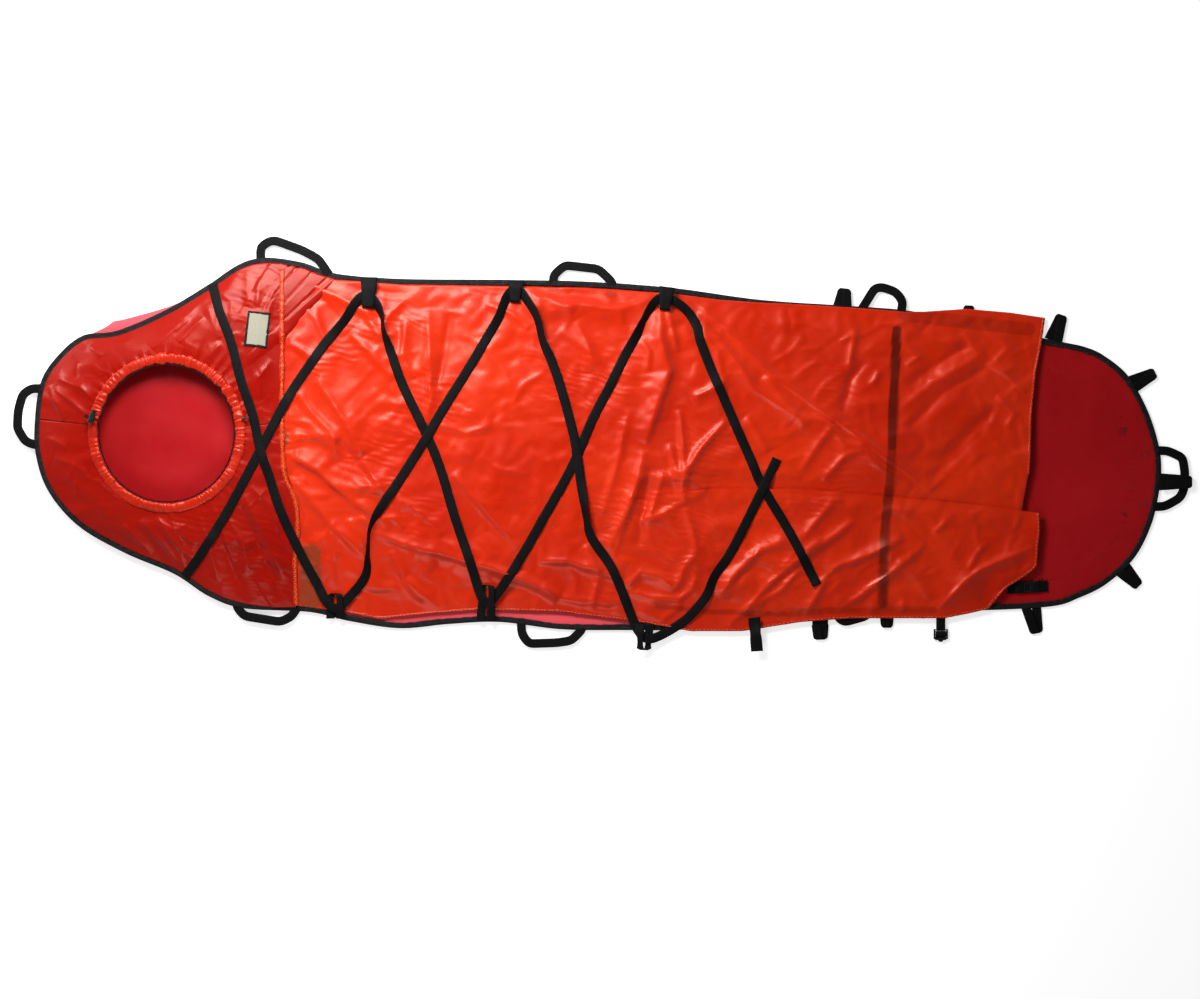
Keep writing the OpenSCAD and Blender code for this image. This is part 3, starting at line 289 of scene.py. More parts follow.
# Carry handles: outer line and inner line of the band
HANDLES = {
    "handle_head": (
        [(-1166, 116), (-1193, 116), (-1212, 97), (-1222, 67), (-1226, 29), (-1216, 0), (-1191, -19), (-1166, -19)],
        [(-1166, 99), (-1191, 99), (-1208, 92), (-1216, 52), (-1216, 21), (-1193, -6), (-1180, -2), (-1166, -2)]),
    "handle_far_1": (
        [(-720, 346), (-720, 401), (-693, 426), (-678, 426), (-626, 407), (-588, 386), (-556, 346)],
        [(-701, 346), (-704, 407), (-689, 410), (-680, 409), (-622, 388), (-592, 372), (-580, 346)]),
    "handle_far_2": (
        [(-109, 304), (-107, 349), (-76, 376), (0, 368), (36, 334), (36, 304)],
        [(-90, 304), (-88, 342), (-71, 357), (-6, 349), (17, 326), (17, 304)]),
    "handle_far_3": (
        [(525, 252), (573, 328), (590, 330), (626, 319), (645, 292), (638, 252)],
        [(546, 252), (580, 309), (594, 311), (615, 302), (626, 288), (620, 252)]),
    "handle_near_1": (
        [(-777, -326), (-773, -351), (-754, -378), (-670, -391), (-640, -378), (-613, -336)],
        [(-750, -326), (-750, -349), (-737, -361), (-670, -372), (-653, -363), (-638, -336)]),
    "handle_near_2": (
        [(-176, -368), (-174, -410), (-155, -437), (-88, -435), (-55, -430), (-25, -399), (-25, -368)],
        [(-155, -368), (-155, -403), (-143, -418), (-92, -416), (-65, -412), (-48, -395), (-48, -368)]),
    "handle_near_3": (
        [(483, -336), (489, -380), (508, -393), (565, -378), (588, -336)],
        [(504, -336), (508, -365), (517, -372), (554, -361), (565, -336)]),
    "handle_foot": (
        [(1155, -13), (1193, -13), (1231, -32), (1237, -67), (1235, -107), (1226, -126), (1189, -149), (1155, -151)],
        [(1155, -32), (1189, -32), (1214, -42), (1218, -69), (1216, -103), (1208, -118), (1182, -130), (1155, -130)]),
}


# Small tools of the workshop

def look(table, value):
    """A table's value at a place, straight between its rows."""
    rows = np.array(table, float)
    return np.interp(value, rows[:, 0], rows[:, 1])


def smooth(t):
    t = np.clip(t, 0, 1)
    return t * t * (3 - 2 * t)


def mix(a, b, t):
    return a + (b - a) * t


def curve_through(points, steps, closed=False):
    """A smooth line through all the points."""
    p = np.array(points, float)
    n = len(p)
    out = []
    spans = n if closed else n - 1
    for i in range(spans):
        if closed:
            a, b, c, d = p[i - 1], p[i], p[(i + 1) % n], p[(i + 2) % n]
        else:
            a, b, c, d = p[max(i - 1, 0)], p[i], p[i + 1], p[min(i + 2, n - 1)]
        for k in range(steps):
            t = k / steps
            out.append(0.5 * (2 * b + (c - a) * t + (2 * a - 5 * b + 4 * c - d) * t ** 2
                              + (3 * b - a - 3 * c + d) * t ** 3))
    if not closed:
        out.append(p[-1])
    return np.array(out)


def even_steps(line, step):
    """The same line with its points at an even spacing."""
    length = np.concatenate([[0], np.cumsum(np.linalg.norm(np.diff(line[:, :2], axis=0), axis=1))])
    count = max(2, int(round(length[-1] / step)) + 1)
    at = np.linspace(0, length[-1], count)
    return np.stack([np.interp(at, length, line[:, k]) for k in range(line.shape[1])], axis=1)


def headings(line, closed=False):
    """Unit direction of a line at each of its points."""
    if closed:
        d = np.roll(line, -1, axis=0) - np.roll(line, 1, axis=0)
    else:
        d = np.gradient(line, axis=0)
    return d / np.maximum(np.linalg.norm(d, axis=1), 1e-9)[:, None]


def left_of(d):
    return np.stack([-d[:, 1], d[:, 0]], axis=1)


RIM = curve_through(MAIN_LINE + FOOT_LINE, 16, closed=True)
RIM_IN = left_of(headings(RIM, closed=True))


def rim_roll(x, y):
    return np.where(y > 0, look(ROLL, x), 0.0)


def rim_rise(x, y):
    return look(RISE, x) + np.where(x < -700, 7 * rim_roll(x, y), 0.0)


def cover_top(x):
    return BASE_T + look(RISE, x) + GAP + BIND_T + 0.8


def across(x, y):
    a, b = look(FAR_EDGE, x), look(NEAR_EDGE, x)
    return np.minimum(1, np.abs((2 * y - a - b) / (a - b)))


def crown(x, y):
    return CROWN_H * look(CROWN, x) * (1 - across(x, y) ** 2)


def broad(x, y, table):
    total = np.zeros_like(x)
    for a, b, height, width in table:
        dx, dy = b[0] - a[0], b[1] - a[1]
        t = np.clip(((x - a[0]) * dx + (y - a[1]) * dy) / (dx * dx + dy * dy), 0, 1)
        r2 = (x - a[0] - dx * t) ** 2 + (y - a[1] - dy * t) ** 2
        total += height * np.exp(-r2 / width ** 2) * (1 - 0.6 * np.abs(2 * t - 1))
    return total


def creases(x, y, folds):
    """Sum of the listed folds: sharp crests that fall off on each side at their own width."""
    total = np.zeros_like(x)
    for path, height, width_left, width_right in folds:
        p = np.array(path, float)
        lengths = np.linalg.norm(np.diff(p, axis=0), axis=1)
        whole = lengths.sum()
        reach = 5 * max(width_left, width_right)
        near = ((x > p[:, 0].min() - reach) & (x < p[:, 0].max() + reach)
                & (y > p[:, 1].min() - reach) & (y < p[:, 1].max() + reach))
        if not near.any():
            continue
        xs, ys = x[near], y[near]
        best = np.full(xs.shape, 1e9)
        place = np.zeros(xs.shape)
        side = np.ones(xs.shape)
        done = 0.0
        for i, length in enumerate(lengths):
            ax, ay = p[i]
            dx, dy = p[i + 1] - p[i]
            t = np.clip(((xs - ax) * dx + (ys - ay) * dy) / length ** 2, 0, 1)
            ox, oy = xs - ax - dx * t, ys - ay - dy * t
            r = np.hypot(ox, oy)
            closer = r < best
            best = np.where(closer, r, best)
            place = np.where(closer, (done + t * length) / whole, place)
            side = np.where(closer, np.sign(dx * oy - dy * ox), side)
            done += length
        width = np.where(side >= 0, width_left, width_right)
        u = best / width
        taper = np.sqrt(np.clip(1 - np.abs(2 * place - 1) ** 2.5, 0, 1))
        total[near] += height * taper * np.exp(-np.sqrt(u * u + 0.02) ** 1.15 * 1.3)
    return total


def small_creases(seed, count, area, lean, spread, height, width, length):
    """Random small folds of thin cloth, leaning one way."""
    rng = random.Random(seed)
    folds = []
    for _ in range(count):
        x = rng.uniform(area[0], area[1])
        y = rng.uniform(area[2], area[3])
        angle = math.radians(rng.gauss(lean, spread))
        reach = rng.uniform(0.5, 1.5) * length
        bend = rng.gauss(0, 0.18)
        dx, dy = math.cos(angle) * reach / 2, math.sin(angle) * reach / 2
        middle = (x - dy * bend, y + dx * bend)
        size = height * rng.uniform(0.4, 1.3) * rng.choice((1, 1, -0.6))
        steep = width * rng.uniform(0.6, 1.1)
        folds.append(([(x - dx, y - dy), middle, (x + dx, y + dy)], size, steep, steep * rng.uniform(0.7, 1.6)))
    return folds


def cloth_noise(x, y, scale, seed):
    """Slow random height between -1 and 1 over the plan."""
    return np.array([noise.noise(Vector((a * scale, b * scale, seed))) for a, b in zip(x.ravel(), y.ravel())]).reshape(x.shape)


RIPPLES = [
    ((-109, 88), 34, 80, 88, 9.5, 0.35), ((32, 42), 40, 60, 80, 9.0, 0.3), ((433, 17), 30, 40, 60, 8.5, 0.35),
    ((500, 116), 30, 60, 65, 9.0, 0.35), ((433, -126), 26, 60, 75, 8.5, 0.3), ((-168, 42), 40, 40, 20, 8.5, 0.25),
    ((-735, -304), 18, 60, 80, 7.5, 0.35), ((-342, 210), 12, 60, 85, 8.0, 0.35), ((122, 63), 12, 50, 20, 8.0, 0.4),
]


def ripples(x, y):
    """Patches of fine parallel ripples where the cloth is drawn."""
    total = np.zeros_like(x)
    for (cx, cy), wide, tall, lean, pitch, height in RIPPLES:
        a = math.radians(lean)
        u = (x - cx) * math.cos(a) + (y - cy) * math.sin(a)
        v = -(x - cx) * math.sin(a) + (y - cy) * math.cos(a)
        window = np.exp(-(((x - cx) / (1.6 * wide)) ** 2 + ((y - cy) / (1.2 * tall)) ** 2))
        total += height * window * np.sin(2 * math.pi * u / pitch + 1.5 * np.sin(v / 17.0))
    return total


MINOR = (small_creases(11, 210, (-650, 930, -370, 340), -55, 38, 1.5, 7, 62)
         + small_creases(12, 90, (380, 930, -370, 260), 35, 22, 1.4, 8, 60)
         + small_creases(13, 70, (-650, 0, -350, -100), -30, 20, 1.8, 8, 80))
MINOR_HOOD = small_creases(21, 150, (-1180, -640, -350, 370), -50, 50, 1.3, 6, 46)


def cover_form(x, y):
    edge = np.minimum(1, 4.5 * (1 - across(x, y) ** 2))
    detail = 0.6 * broad(x, y, BROAD_FOLDS) + 1.3 * creases(x, y, COVER_FOLDS) + creases(x, y, MINOR) + ripples(x, y)
    detail = np.where(detail < -6, -6 + 0.4 * (detail + 6), detail)
    detail = np.where(detail > 13, 13 + 0.5 * (detail - 13), detail)
    return cover_top(x) + crown(x, y) + detail * (0.18 + 0.82 * edge)


def lap_step(x):
    """How far the far flap drops under the near one: hardly at the head, clearly towards the foot."""
    return mix(1.0, 3.2, smooth((x - 20) / 120))


def far_form(x, y):
    past = y - look(LAP_EDGE, x)
    lap = mix(smooth(past / 0.3), smooth(past / 45), smooth((x - 20) / 120))
    return cover_form(x, y) - lap_step(x) * (1 - lap)


def near_form(x, y):
    edge = look(LAP_EDGE, x)
    band = smooth(1 - np.abs(edge - y - 25) / 26) * smooth((x - 420) / 160)
    lift = mix(0.0, 2.0, smooth((x - 20) / 120))
    return cover_form(x, y) + lift + 1.6 * band * smooth((edge - y) / 8)


# Meshes and their finishes

def clear_selection():
    if bpy.context.object and bpy.context.object.mode != "OBJECT":
        bpy.ops.object.mode_set(mode="OBJECT")
    bpy.ops.object.select_all(action="DESELECT")


def only(piece):
    clear_selection()
    piece.select_set(True)
    bpy.context.view_layer.objects.active = piece


def finish_with(piece, kind, **settings):
    """Adds one modifier and applies it."""
    only(piece)
    modifier = piece.modifiers.new(kind.lower(), kind)
    for key, value in settings.items():
        setattr(modifier, key, value)
    bpy.ops.object.modifier_apply(modifier=modifier.name)


def sheet_from_rows(name, rows, uv=None, closed=False):
    """A grid primitive whose points are laid at the rows' places. Rows are in millimetres."""
    rows = np.asarray(rows, float)
    n, m = rows.shape[:2]
    clear_selection()
    bpy.ops.mesh.primitive_grid_add(x_subdivisions=m - 1, y_subdivisions=n - 1, size=1)
    piece = bpy.context.object
    piece.name = name
    piece.data.name = name
    piece.location = (0, 0, 0)
    mesh = piece.data
    mesh.vertices.foreach_set("co", (rows * MM).reshape(-1))
    if uv is None:
        u = np.concatenate([np.zeros((1, m)), np.cumsum(np.linalg.norm(np.diff(rows, axis=0), axis=2), axis=0)])
        v = np.concatenate([np.zeros((n, 1)), np.cumsum(np.linalg.norm(np.diff(rows, axis=1), axis=2), axis=1)], axis=1)
        u = np.repeat(u.mean(axis=1)[:, None], m, axis=1)
        uv = np.stack([u, v], axis=2) * MM
    corner = np.zeros(len(mesh.loops), int)
    mesh.loops.foreach_get("vertex_index", corner)
    mesh.uv_layers.active.data.foreach_set("uv", uv.reshape(-1, 2)[corner].reshape(-1))
    mesh.update()
    if closed:
        only(piece)
        bpy.ops.object.mode_set(mode="EDIT")
        bpy.ops.mesh.select_all(action="SELECT")
        bpy.ops.mesh.remove_doubles(threshold=1e-6)
        bpy.ops.object.mode_set(mode="OBJECT")
    face_up(piece)
    bpy.ops.object.shade_smooth()
    return piece


def face_up(piece):
    """Turns the faces of an open sheet so that most look up."""
    normals = np.zeros(len(piece.data.polygons) * 3)
    piece.data.polygons.foreach_get("normal", normals)
    only(piece)
    if normals.reshape(-1, 3)[:, 2].mean() < 0:
        bpy.ops.object.mode_set(mode="EDIT")
        bpy.ops.mesh.select_all(action="SELECT")
        bpy.ops.mesh.flip_normals()
        bpy.ops.object.mode_set(mode="OBJECT")


def band(name, centres, sides, width, thick, columns=5, crown_mm=0.0):
    """Flat webbing: centre points, unit side vectors and widths, with rounded edges and a woven UV map."""
    centres, sides = np.asarray(centres, float), np.asarray(sides, float)
    width = np.broadcast_to(np.asarray(width, float), (len(centres),))
    t = np.linspace(-0.5, 0.5, columns)
    rows = centres[:, None, :] + sides[:, None, :] * (t[None, :, None] * width[:, None, None])
    if crown_mm:
        rows[:, :, 2] += crown_mm * (1 - (2 * t) ** 2)[None, :]
    piece = sheet_from_rows(name, rows)
    finish_with(piece, "SOLIDIFY", thickness=thick * MM, offset=0.0, use_even_offset=True)
    finish_with(piece, "BEVEL", width=0.32 * thick * MM, segments=2, limit_method="ANGLE", angle_limit=math.radians(50))
    only(piece)
    bpy.ops.object.shade_smooth()
    return piece


def join(name, parts):
    """Joins parts into one piece."""
    clear_selection()
    for part in parts:
        part.select_set(True)
    bpy.context.view_layer.objects.active = parts[0]
    if len(parts) > 1:
        bpy.ops.object.join()
    parts[0].name = name
    parts[0].data.name = name
    return parts[0]


def stitches(name, points, directions, ups, length, width, height, finish):
    """A row of thread stitches: one small tapered shape each, sunk into the cloth at both ends."""
    shape = np.array([(-1, -0.6, -0.3), (-1, 0.6, -0.3), (-0.45, -1, 0.7), (-0.45, 1, 0.7), (0.45, -1, 0.7),
                      (0.45, 1, 0.7), (1, -0.6, -0.3), (1, 0.6, -0.3)])
    faces = [(0, 2, 3, 1), (2, 4, 5, 3), (4, 6, 7, 5), (0, 1, 7, 6), (0, 6, 4, 2), (1, 3, 5, 7)]
    verts, polys = [], []
    for p, d, u in zip(points, directions, ups):
        d = d / np.linalg.norm(d)
        u = u / np.linalg.norm(u)
        s = np.cross(u, d)
        first = len(verts)
        for a, b, c in shape:
            verts.append(tuple((p + d * a * length / 2 + s * b * width / 2 + u * c * height) * MM))
        polys += [tuple(first + k for k in face) for face in faces]
    mesh = bpy.data.meshes.new(name)
    mesh.from_pydata(verts, [], polys)
    mesh.update()
    piece = bpy.data.objects.new(name, mesh)
    bpy.context.collection.objects.link(piece)
    only(piece)
    bpy.ops.object.mode_set(mode="EDIT")
    bpy.ops.mesh.select_all(action="SELECT")
    bpy.ops.mesh.normals_make_consistent(inside=False)
    bpy.ops.object.mode_set(mode="OBJECT")
    bpy.ops.object.shade_smooth_by_angle(angle=math.radians(60))
    wear(piece, finish)
    return piece


def remember(piece):
    """Keeps a finished surface, so that later pieces can lie on it."""
    co = [v.co.copy() for v in piece.data.vertices]
    SURFACES.append(BVHTree.FromPolygons(co, [tuple(p.vertices) for p in piece.data.polygons]))


def top_at(x, y, floor=2.0):
    """Height in millimetres of the highest kept surface over a place."""
    best = floor
    for tree in SURFACES:
        hit = tree.ray_cast(Vector((x * MM, y * MM, 0.2)), Vector((0, 0, -1)))
        if hit[0] is not None:
            best = max(best, hit[0].z / MM)
    return best


def lay_on(points, clearance, spread_mm, smoothing):
    """Heights for a band over the kept surfaces: it rests on the crests and spans the hollows."""
    low = []
    for x, y in points:
        low.append(max(top_at(x + dx, y + dy) for dx, dy in
                       ((0, 0), (spread_mm, 0), (-spread_mm, 0), (0, spread_mm), (0, -spread_mm))))
    low = np.array(low) + clearance
    z = low.copy()
    for _ in range(smoothing):
        z[1:-1] = np.maximum(low[1:-1], (z[:-2] + z[2:]) / 2)
    for _ in range(3):
        z[1:-1] = (z[:-2] + 2 * z[1:-1] + z[2:]) / 4
    return np.maximum(z, low - 0.15)


# Materials

def linear(hex_colour):
    """sRGB hex colour as linear values."""
    out = []
    for k in (1, 3, 5):
        c = int(hex_colour[k:k + 2], 16) / 255
        out.append(c / 12.92 if c <= 0.04045 else ((c + 0.055) / 1.055) ** 2.4)
    return (*out, 1.0)


def node(tree, kind, settings=None, **links):
    """Adds a shader node. Settings name its properties or sockets, links join its sockets to outputs."""
    made = tree.nodes.new(kind)
    for key, value in (settings or {}).items():
        if isinstance(key, int) or key in made.inputs:
            made.inputs[key].default_value = value
        else:
            setattr(made, key, value)
    for key, source in links.items():
        slot = int(key[1:]) if key[0] == "i" and key[1:].isdigit() else key.replace("_", " ")
        tree.links.new(source, made.inputs[slot])
    return made


def new_material(name):
    material = bpy.data.materials.new(name)
    material.use_nodes = True
    tree = material.node_tree
    tree.nodes.clear()
    output = tree.nodes.new("ShaderNodeOutputMaterial")
    shader = tree.nodes.new("ShaderNodeBsdfPrincipled")
    tree.links.new(shader.outputs[0], output.inputs["Surface"])
    return material, tree, shader


def ramp(tree, source, stops):
    made = tree.nodes.new("ShaderNodeValToRGB")
    elements = made.color_ramp.elements
    while len(elements) < len(stops):
        elements.new(0.5)
    for element, (place, colour) in zip(elements, stops):
        element.position = place
        element.color = colour if len(colour) == 4 else (*colour, 1)
    tree.links.new(source, made.inputs[0])
    return made.outputs[0]


def grey(v):
    return (v, v, v, 1)


def bump(tree, height, strength, distance, below=None):
    made = node(tree, "ShaderNodeBump", {"Strength": strength, "Distance": distance}, Height=height)
    if below is not None:
        tree.links.new(below, made.inputs["Normal"])
    return made.outputs[0]


def math_node(tree, operation, a, b):
    made = tree.nodes.new("ShaderNodeMath")
    made.operation = operation
    for slot, value in ((0, a), (1, b)):
        if isinstance(value, (int, float)):
            made.inputs[slot].default_value = value
        else:
            tree.links.new(value, made.inputs[slot])
    return made.outputs[0]


def mixed(tree, factor, a, b):
    made = tree.nodes.new("ShaderNodeMix")
    made.data_type = "RGBA"
    for slot, value in ((0, factor), (6, a), (7, b)):
        if isinstance(value, (int, float)):
            made.inputs[slot].default_value = value
        elif isinstance(value, tuple):
            made.inputs[slot].default_value = value
        else:
            tree.links.new(value, made.inputs[slot])
    return made.outputs[2]


def deeper(colour):
    """The same cloth where it has kept more of its dye."""
    return (colour[0] * 0.78, colour[1] * 0.5, colour[2] * 0.5, 1.0)


def coated_nylon(name, colour, paint_show_through=True, gloss=0.4, level=0.62):
    """Thin proofed nylon: a glossy film that crackles into small facets, with painted show-through shade where
    something lies under it.
    """
    material, tree, shader = new_material(name)
    place = node(tree, "ShaderNodeTexCoord").outputs["Object"]
    slow = node(tree, "ShaderNodeTexNoise", {"Scale": 4.0, "Detail": 3.0}, Vector=place).outputs["Fac"]
    tint = ramp(tree, slow, [(0.32, deeper(colour)), (0.68, colour)])
    # painted show-through shade: the colour turns dark red over webbing and binding (red channel) and brown over the
    # patches (green channel)
    if paint_show_through:
        below = node(tree, "ShaderNodeAttribute", {"attribute_name": "under"}).outputs["Color"]
        tint = mixed(tree, node(tree, "ShaderNodeSeparateColor", i0=below).outputs[0], tint, linear("#4A0F06"))
        tint = mixed(tree, node(tree, "ShaderNodeSeparateColor", i0=below).outputs[1], tint, linear("#7E3A1C"))
    tree.links.new(tint, shader.inputs["Base Color"])
    # the film scatters light: dull where it has been handled
    shine = node(tree, "ShaderNodeTexNoise", {"Scale": 13.0, "Detail": 4.0}, Vector=place).outputs["Fac"]
    rough = ramp(tree, shine, [(0.3, grey(gloss - 0.09)), (0.7, grey(gloss + 0.06))])
    tree.links.new(rough, shader.inputs["Roughness"])
    shader.inputs["IOR"].default_value = 1.5
    # light goes through the tinted film and back, so its shine is peach, not white
    shader.inputs["Specular IOR Level"].default_value = level
    shader.inputs["Specular Tint"].default_value = (1.0, 0.42, 0.32, 1.0)
    shader.inputs["Coat Weight"].default_value = 0.11
    shader.inputs["Coat Roughness"].default_value = 0.16
    # crumple: sharp little ridges that drift with the folds, in patches
    warp = node(tree, "ShaderNodeTexNoise", {"Scale": 9.0, "Detail": 2.0}, Vector=place).outputs["Color"]
    bent = node(tree, "ShaderNodeVectorMath", {"operation": "MULTIPLY_ADD", 1: (0.07, 0.07, 0.07)}, i0=warp, i2=place).outputs[0]
    leaned = node(tree, "ShaderNodeMapping", {2: (0.0, 0.0, 0.95), 3: (0.5, 1.0, 1.0)}, i0=bent).outputs[0]
    ridges = node(tree, "ShaderNodeTexNoise", {"noise_type": "RIDGED_MULTIFRACTAL", "normalize": True, "Scale": 17.0,
                                              "Detail": 2.0, "Lacunarity": 2.4, "Roughness": 0.45}, Vector=leaned).outputs["Fac"]
    patch = node(tree, "ShaderNodeTexNoise", {"Scale": 4.5, "Detail": 2.0}, Vector=place).outputs["Fac"]
    where = ramp(tree, patch, [(0.36, grey(0.25)), (0.62, grey(1))])
    crumple = math_node(tree, "MULTIPLY", ridges, where)
    # drawn cloth: fine parallel ripples 7 mm apart in a few patches
    turned = node(tree, "ShaderNodeMapping", {2: (0.0, 0.0, 0.3)}, i0=bent).outputs[0]
    lines = node(tree, "ShaderNodeTexWave", {"wave_type": "BANDS", "bands_direction": "Y", "Scale": 22.0, "Distortion": 2.2,
                                            "Detail": 2.0, "Detail Scale": 1.4}, Vector=turned).outputs["Fac"]
    drawn = node(tree, "ShaderNodeTexNoise", {"Scale": 6.0, "Detail": 1.0}, Vector=bent).outputs["Fac"]
    drawn = ramp(tree, drawn, [(0.52, grey(0)), (0.66, grey(1))])
    ripple = math_node(tree, "MULTIPLY", lines, drawn)
    # rip-stop weave, drawn at 1.6 mm because the real 0.3 mm would be lost
    grain = node(tree, "ShaderNodeTexNoise", {"Scale": 600.0, "Detail": 1.0}, Vector=place).outputs["Fac"]
    n1 = bump(tree, grain, 0.08, 0.0006)
    n2 = bump(tree, ripple, 0.3, 0.0016, n1)
    n3 = bump(tree, crumple, 0.8, 0.016, n2)
    tree.links.new(n3, shader.inputs["Normal"])
    return material


def coated_canvas(name, colour):
    """Heavy woven base coated in smooth plastic: soft sheen, faint scrim pattern, scuffs."""
    material, tree, shader = new_material(name)
    place = node(tree, "ShaderNodeTexCoord").outputs["Object"]
    slow = node(tree, "ShaderNodeTexNoise", {"Scale": 3.0, "Detail": 4.0}, Vector=place).outputs["Fac"]
    tint = ramp(tree, slow, [(0.3, deeper(colour)), (0.7, colour)])
    # painted highlight: where light falls on the upturned rim the base is made a paler pink
    painted_rim_light = node(tree, "ShaderNodeAttribute", {"attribute_name": "painted_rim_light"}).outputs["Color"]
    tint = mixed(tree, node(tree, "ShaderNodeSeparateColor", i0=painted_rim_light).outputs[0], tint, linear("#F0525C"))
    tree.links.new(tint, shader.inputs["Base Color"])
    scuff = node(tree, "ShaderNodeTexNoise", {"Scale": 38.0, "Detail": 6.0, "Roughness": 0.7}, Vector=place).outputs["Fac"]
    tree.links.new(ramp(tree, scuff, [(0.35, grey(0.4)), (0.7, grey(0.55))]), shader.inputs["Roughness"])
    shader.inputs["IOR"].default_value = 1.5
    shader.inputs["Specular IOR Level"].default_value = 0.4
    shader.inputs["Specular Tint"].default_value = (1.0, 0.4, 0.4, 1.0)
    # scrim of the weave shows through the coating every 1.7 mm
    threads = node(tree, "ShaderNodeTexChecker", {"Scale": 590.0}, Vector=place).outputs["Fac"]
    grain = node(tree, "ShaderNodeTexNoise", {"Scale": 420.0, "Detail": 2.0}, Vector=place).outputs["Fac"]
    n1 = bump(tree, threads, 0.05, 0.0004)
    n2 = bump(tree, grain, 0.08, 0.0006, n1)
    tree.links.new(n2, shader.inputs["Normal"])
    return material


def woven_black(name, colour, worn, rib_mm, rough=0.62, puckers=0.0):
    """Black webbing: ribs across the band and lines along it, paler where it is worn."""
    material, tree, shader = new_material(name)
    uv = node(tree, "ShaderNodeUVMap").outputs["UV"]
    place = node(tree, "ShaderNodeTexCoord").outputs["Object"]
    ribs = node(tree, "ShaderNodeTexWave", {"wave_type": "BANDS", "bands_direction": "X", "Scale": 1000 / rib_mm / 6.283 * 1.0,
                                           "Distortion": 0.6, "Detail": 1.0}, Vector=uv).outputs["Fac"]
    cross = node(tree, "ShaderNodeTexWave", {"wave_type": "BANDS", "bands_direction": "Y", "Scale": 1000 / rib_mm / 6.283 * 0.8,
                                            "Distortion": 0.3}, Vector=uv).outputs["Fac"]
    weave = math_node(tree, "MULTIPLY", ribs, cross)
    fuzz = node(tree, "ShaderNodeTexNoise", {"Scale": 900.0, "Detail": 3.0}, Vector=place).outputs["Fac"]
    slow = node(tree, "ShaderNodeTexNoise", {"Scale": 24.0, "Detail": 3.0}, Vector=place).outputs["Fac"]
    tint = ramp(tree, slow, [(0.35, linear(colour)), (0.75, linear(worn))])
    tint = mixed(tree, math_node(tree, "MULTIPLY", weave, 0.35), tint, linear(worn))
    tree.links.new(tint, shader.inputs["Base Color"])
    tree.links.new(ramp(tree, fuzz, [(0.3, grey(rough - 0.1)), (0.7, grey(rough + 0.12))]), shader.inputs["Roughness"])
    shader.inputs["IOR"].default_value = 1.5
    shader.inputs["Specular IOR Level"].default_value = 0.14
    n1 = bump(tree, fuzz, 0.12, 0.0004)
    n2 = bump(tree, weave, 0.5, 0.0007, n1)
    if puckers:
        # the row of stitches gathers the tape into puckers 12 mm apart that catch the light
        shader.inputs["Specular IOR Level"].default_value = 0.3
        gathers = node(tree, "ShaderNodeTexNoise", {"Scale": 75.0, "Detail": 2.0}, Vector=place).outputs["Fac"]
        n2 = bump(tree, gathers, puckers, 0.004, n2)
    tree.links.new(n2, shader.inputs["Normal"])
    return material


def plain_finish(name, colour, worn, rough, scale, depth, coat=0.0):
    """Moulded or sewn small parts: even colour broken by fine grain that mixes in a worn tone."""
    material, tree, shader = new_material(name)
    place = node(tree, "ShaderNodeTexCoord").outputs["Object"]
    fine = node(tree, "ShaderNodeTexNoise", {"Scale": scale, "Detail": 5.0, "Roughness": 0.6}, Vector=place).outputs["Fac"]
    tree.links.new(ramp(tree, fine, [(0.3, linear(colour)), (0.75, linear(worn))]), shader.inputs["Base Color"])
    tree.links.new(ramp(tree, fine, [(0.3, grey(rough)), (0.8, grey(min(1, rough + 0.16)))]), shader.inputs["Roughness"])
    shader.inputs["Coat Weight"].default_value = coat
    tree.links.new(bump(tree, fine, 0.3, depth), shader.inputs["Normal"])
    return material


FINISHES = {}


def make_finishes():
    colours = bpy.context.scene.sled_colours
    cover, hood, hem, base = (tuple(c) for c in (colours.cover, colours.hood, colours.hem, colours.base))
    # the hood is the cover's nylon with painted shade in its darker colour; the casing and the flap hems take a colour
    # halfway to it, so half that painted shade
    halfway_to_hood_shade = tuple((a + b) / 2 for a, b in zip(cover, hood))
    FINISHES.update({
        "cover_cloth": coated_nylon("cover_cloth_orange_nylon", cover),
        "hood_cloth_painted_shade": coated_nylon("hood_cloth_orange_nylon", hood, gloss=0.36, level=0.34),
        "hem_cloth": coated_nylon("hem_cloth_gathered_nylon", hem, paint_show_through=False),
        "casing_cloth": coated_nylon("casing_cloth_gathered_nylon", halfway_to_hood_shade, paint_show_through=False),
        "coated_base": coated_canvas("base_coated_canvas", base),
        "binding_tape": woven_black("binding_woven_tape", "#030304", "#0B0B0E", 1.6, puckers=0.7),
        "black_webbing": woven_black("webbing_black_woven", "#030304", "#0A0A0D", 1.8),
        "cord": woven_black("cord_black_braid", "#0A0808", "#1A1614", 1.5),
        "black_plastic": plain_finish("moulded_black_plastic", "#0C0C0D", "#1A1A1B", 0.34, 260.0, 0.0003, 0.2),
        "label_cloth": plain_finish("label_woven_cloth", "#A8A592", "#948F7C", 0.7, 700.0, 0.0006),
        "patch_cloth": plain_finish("fastening_patch_loop_pile", "#5A3018", "#7A4424", 0.85, 500.0, 0.001),
        "thread": plain_finish("thread_black_polyester", "#17171A", "#34343A", 0.5, 900.0, 0.0003),
        "hem_thread": plain_finish("thread_orange_polyester", "#F2601E", "#FF8A3C", 0.5, 900.0, 0.0003),
    })


def wear(piece, finish):
    """Gives a piece its material."""
    piece.data.materials.clear()
    piece.data.materials.append(FINISHES[finish])


def dress_node(name, finish):
    """A solid whose shape is right stays and only gets its finish."""
    solid = frame["nodes"][name]
    for slot in solid.material_slots:
        slot.material = FINISHES[finish]


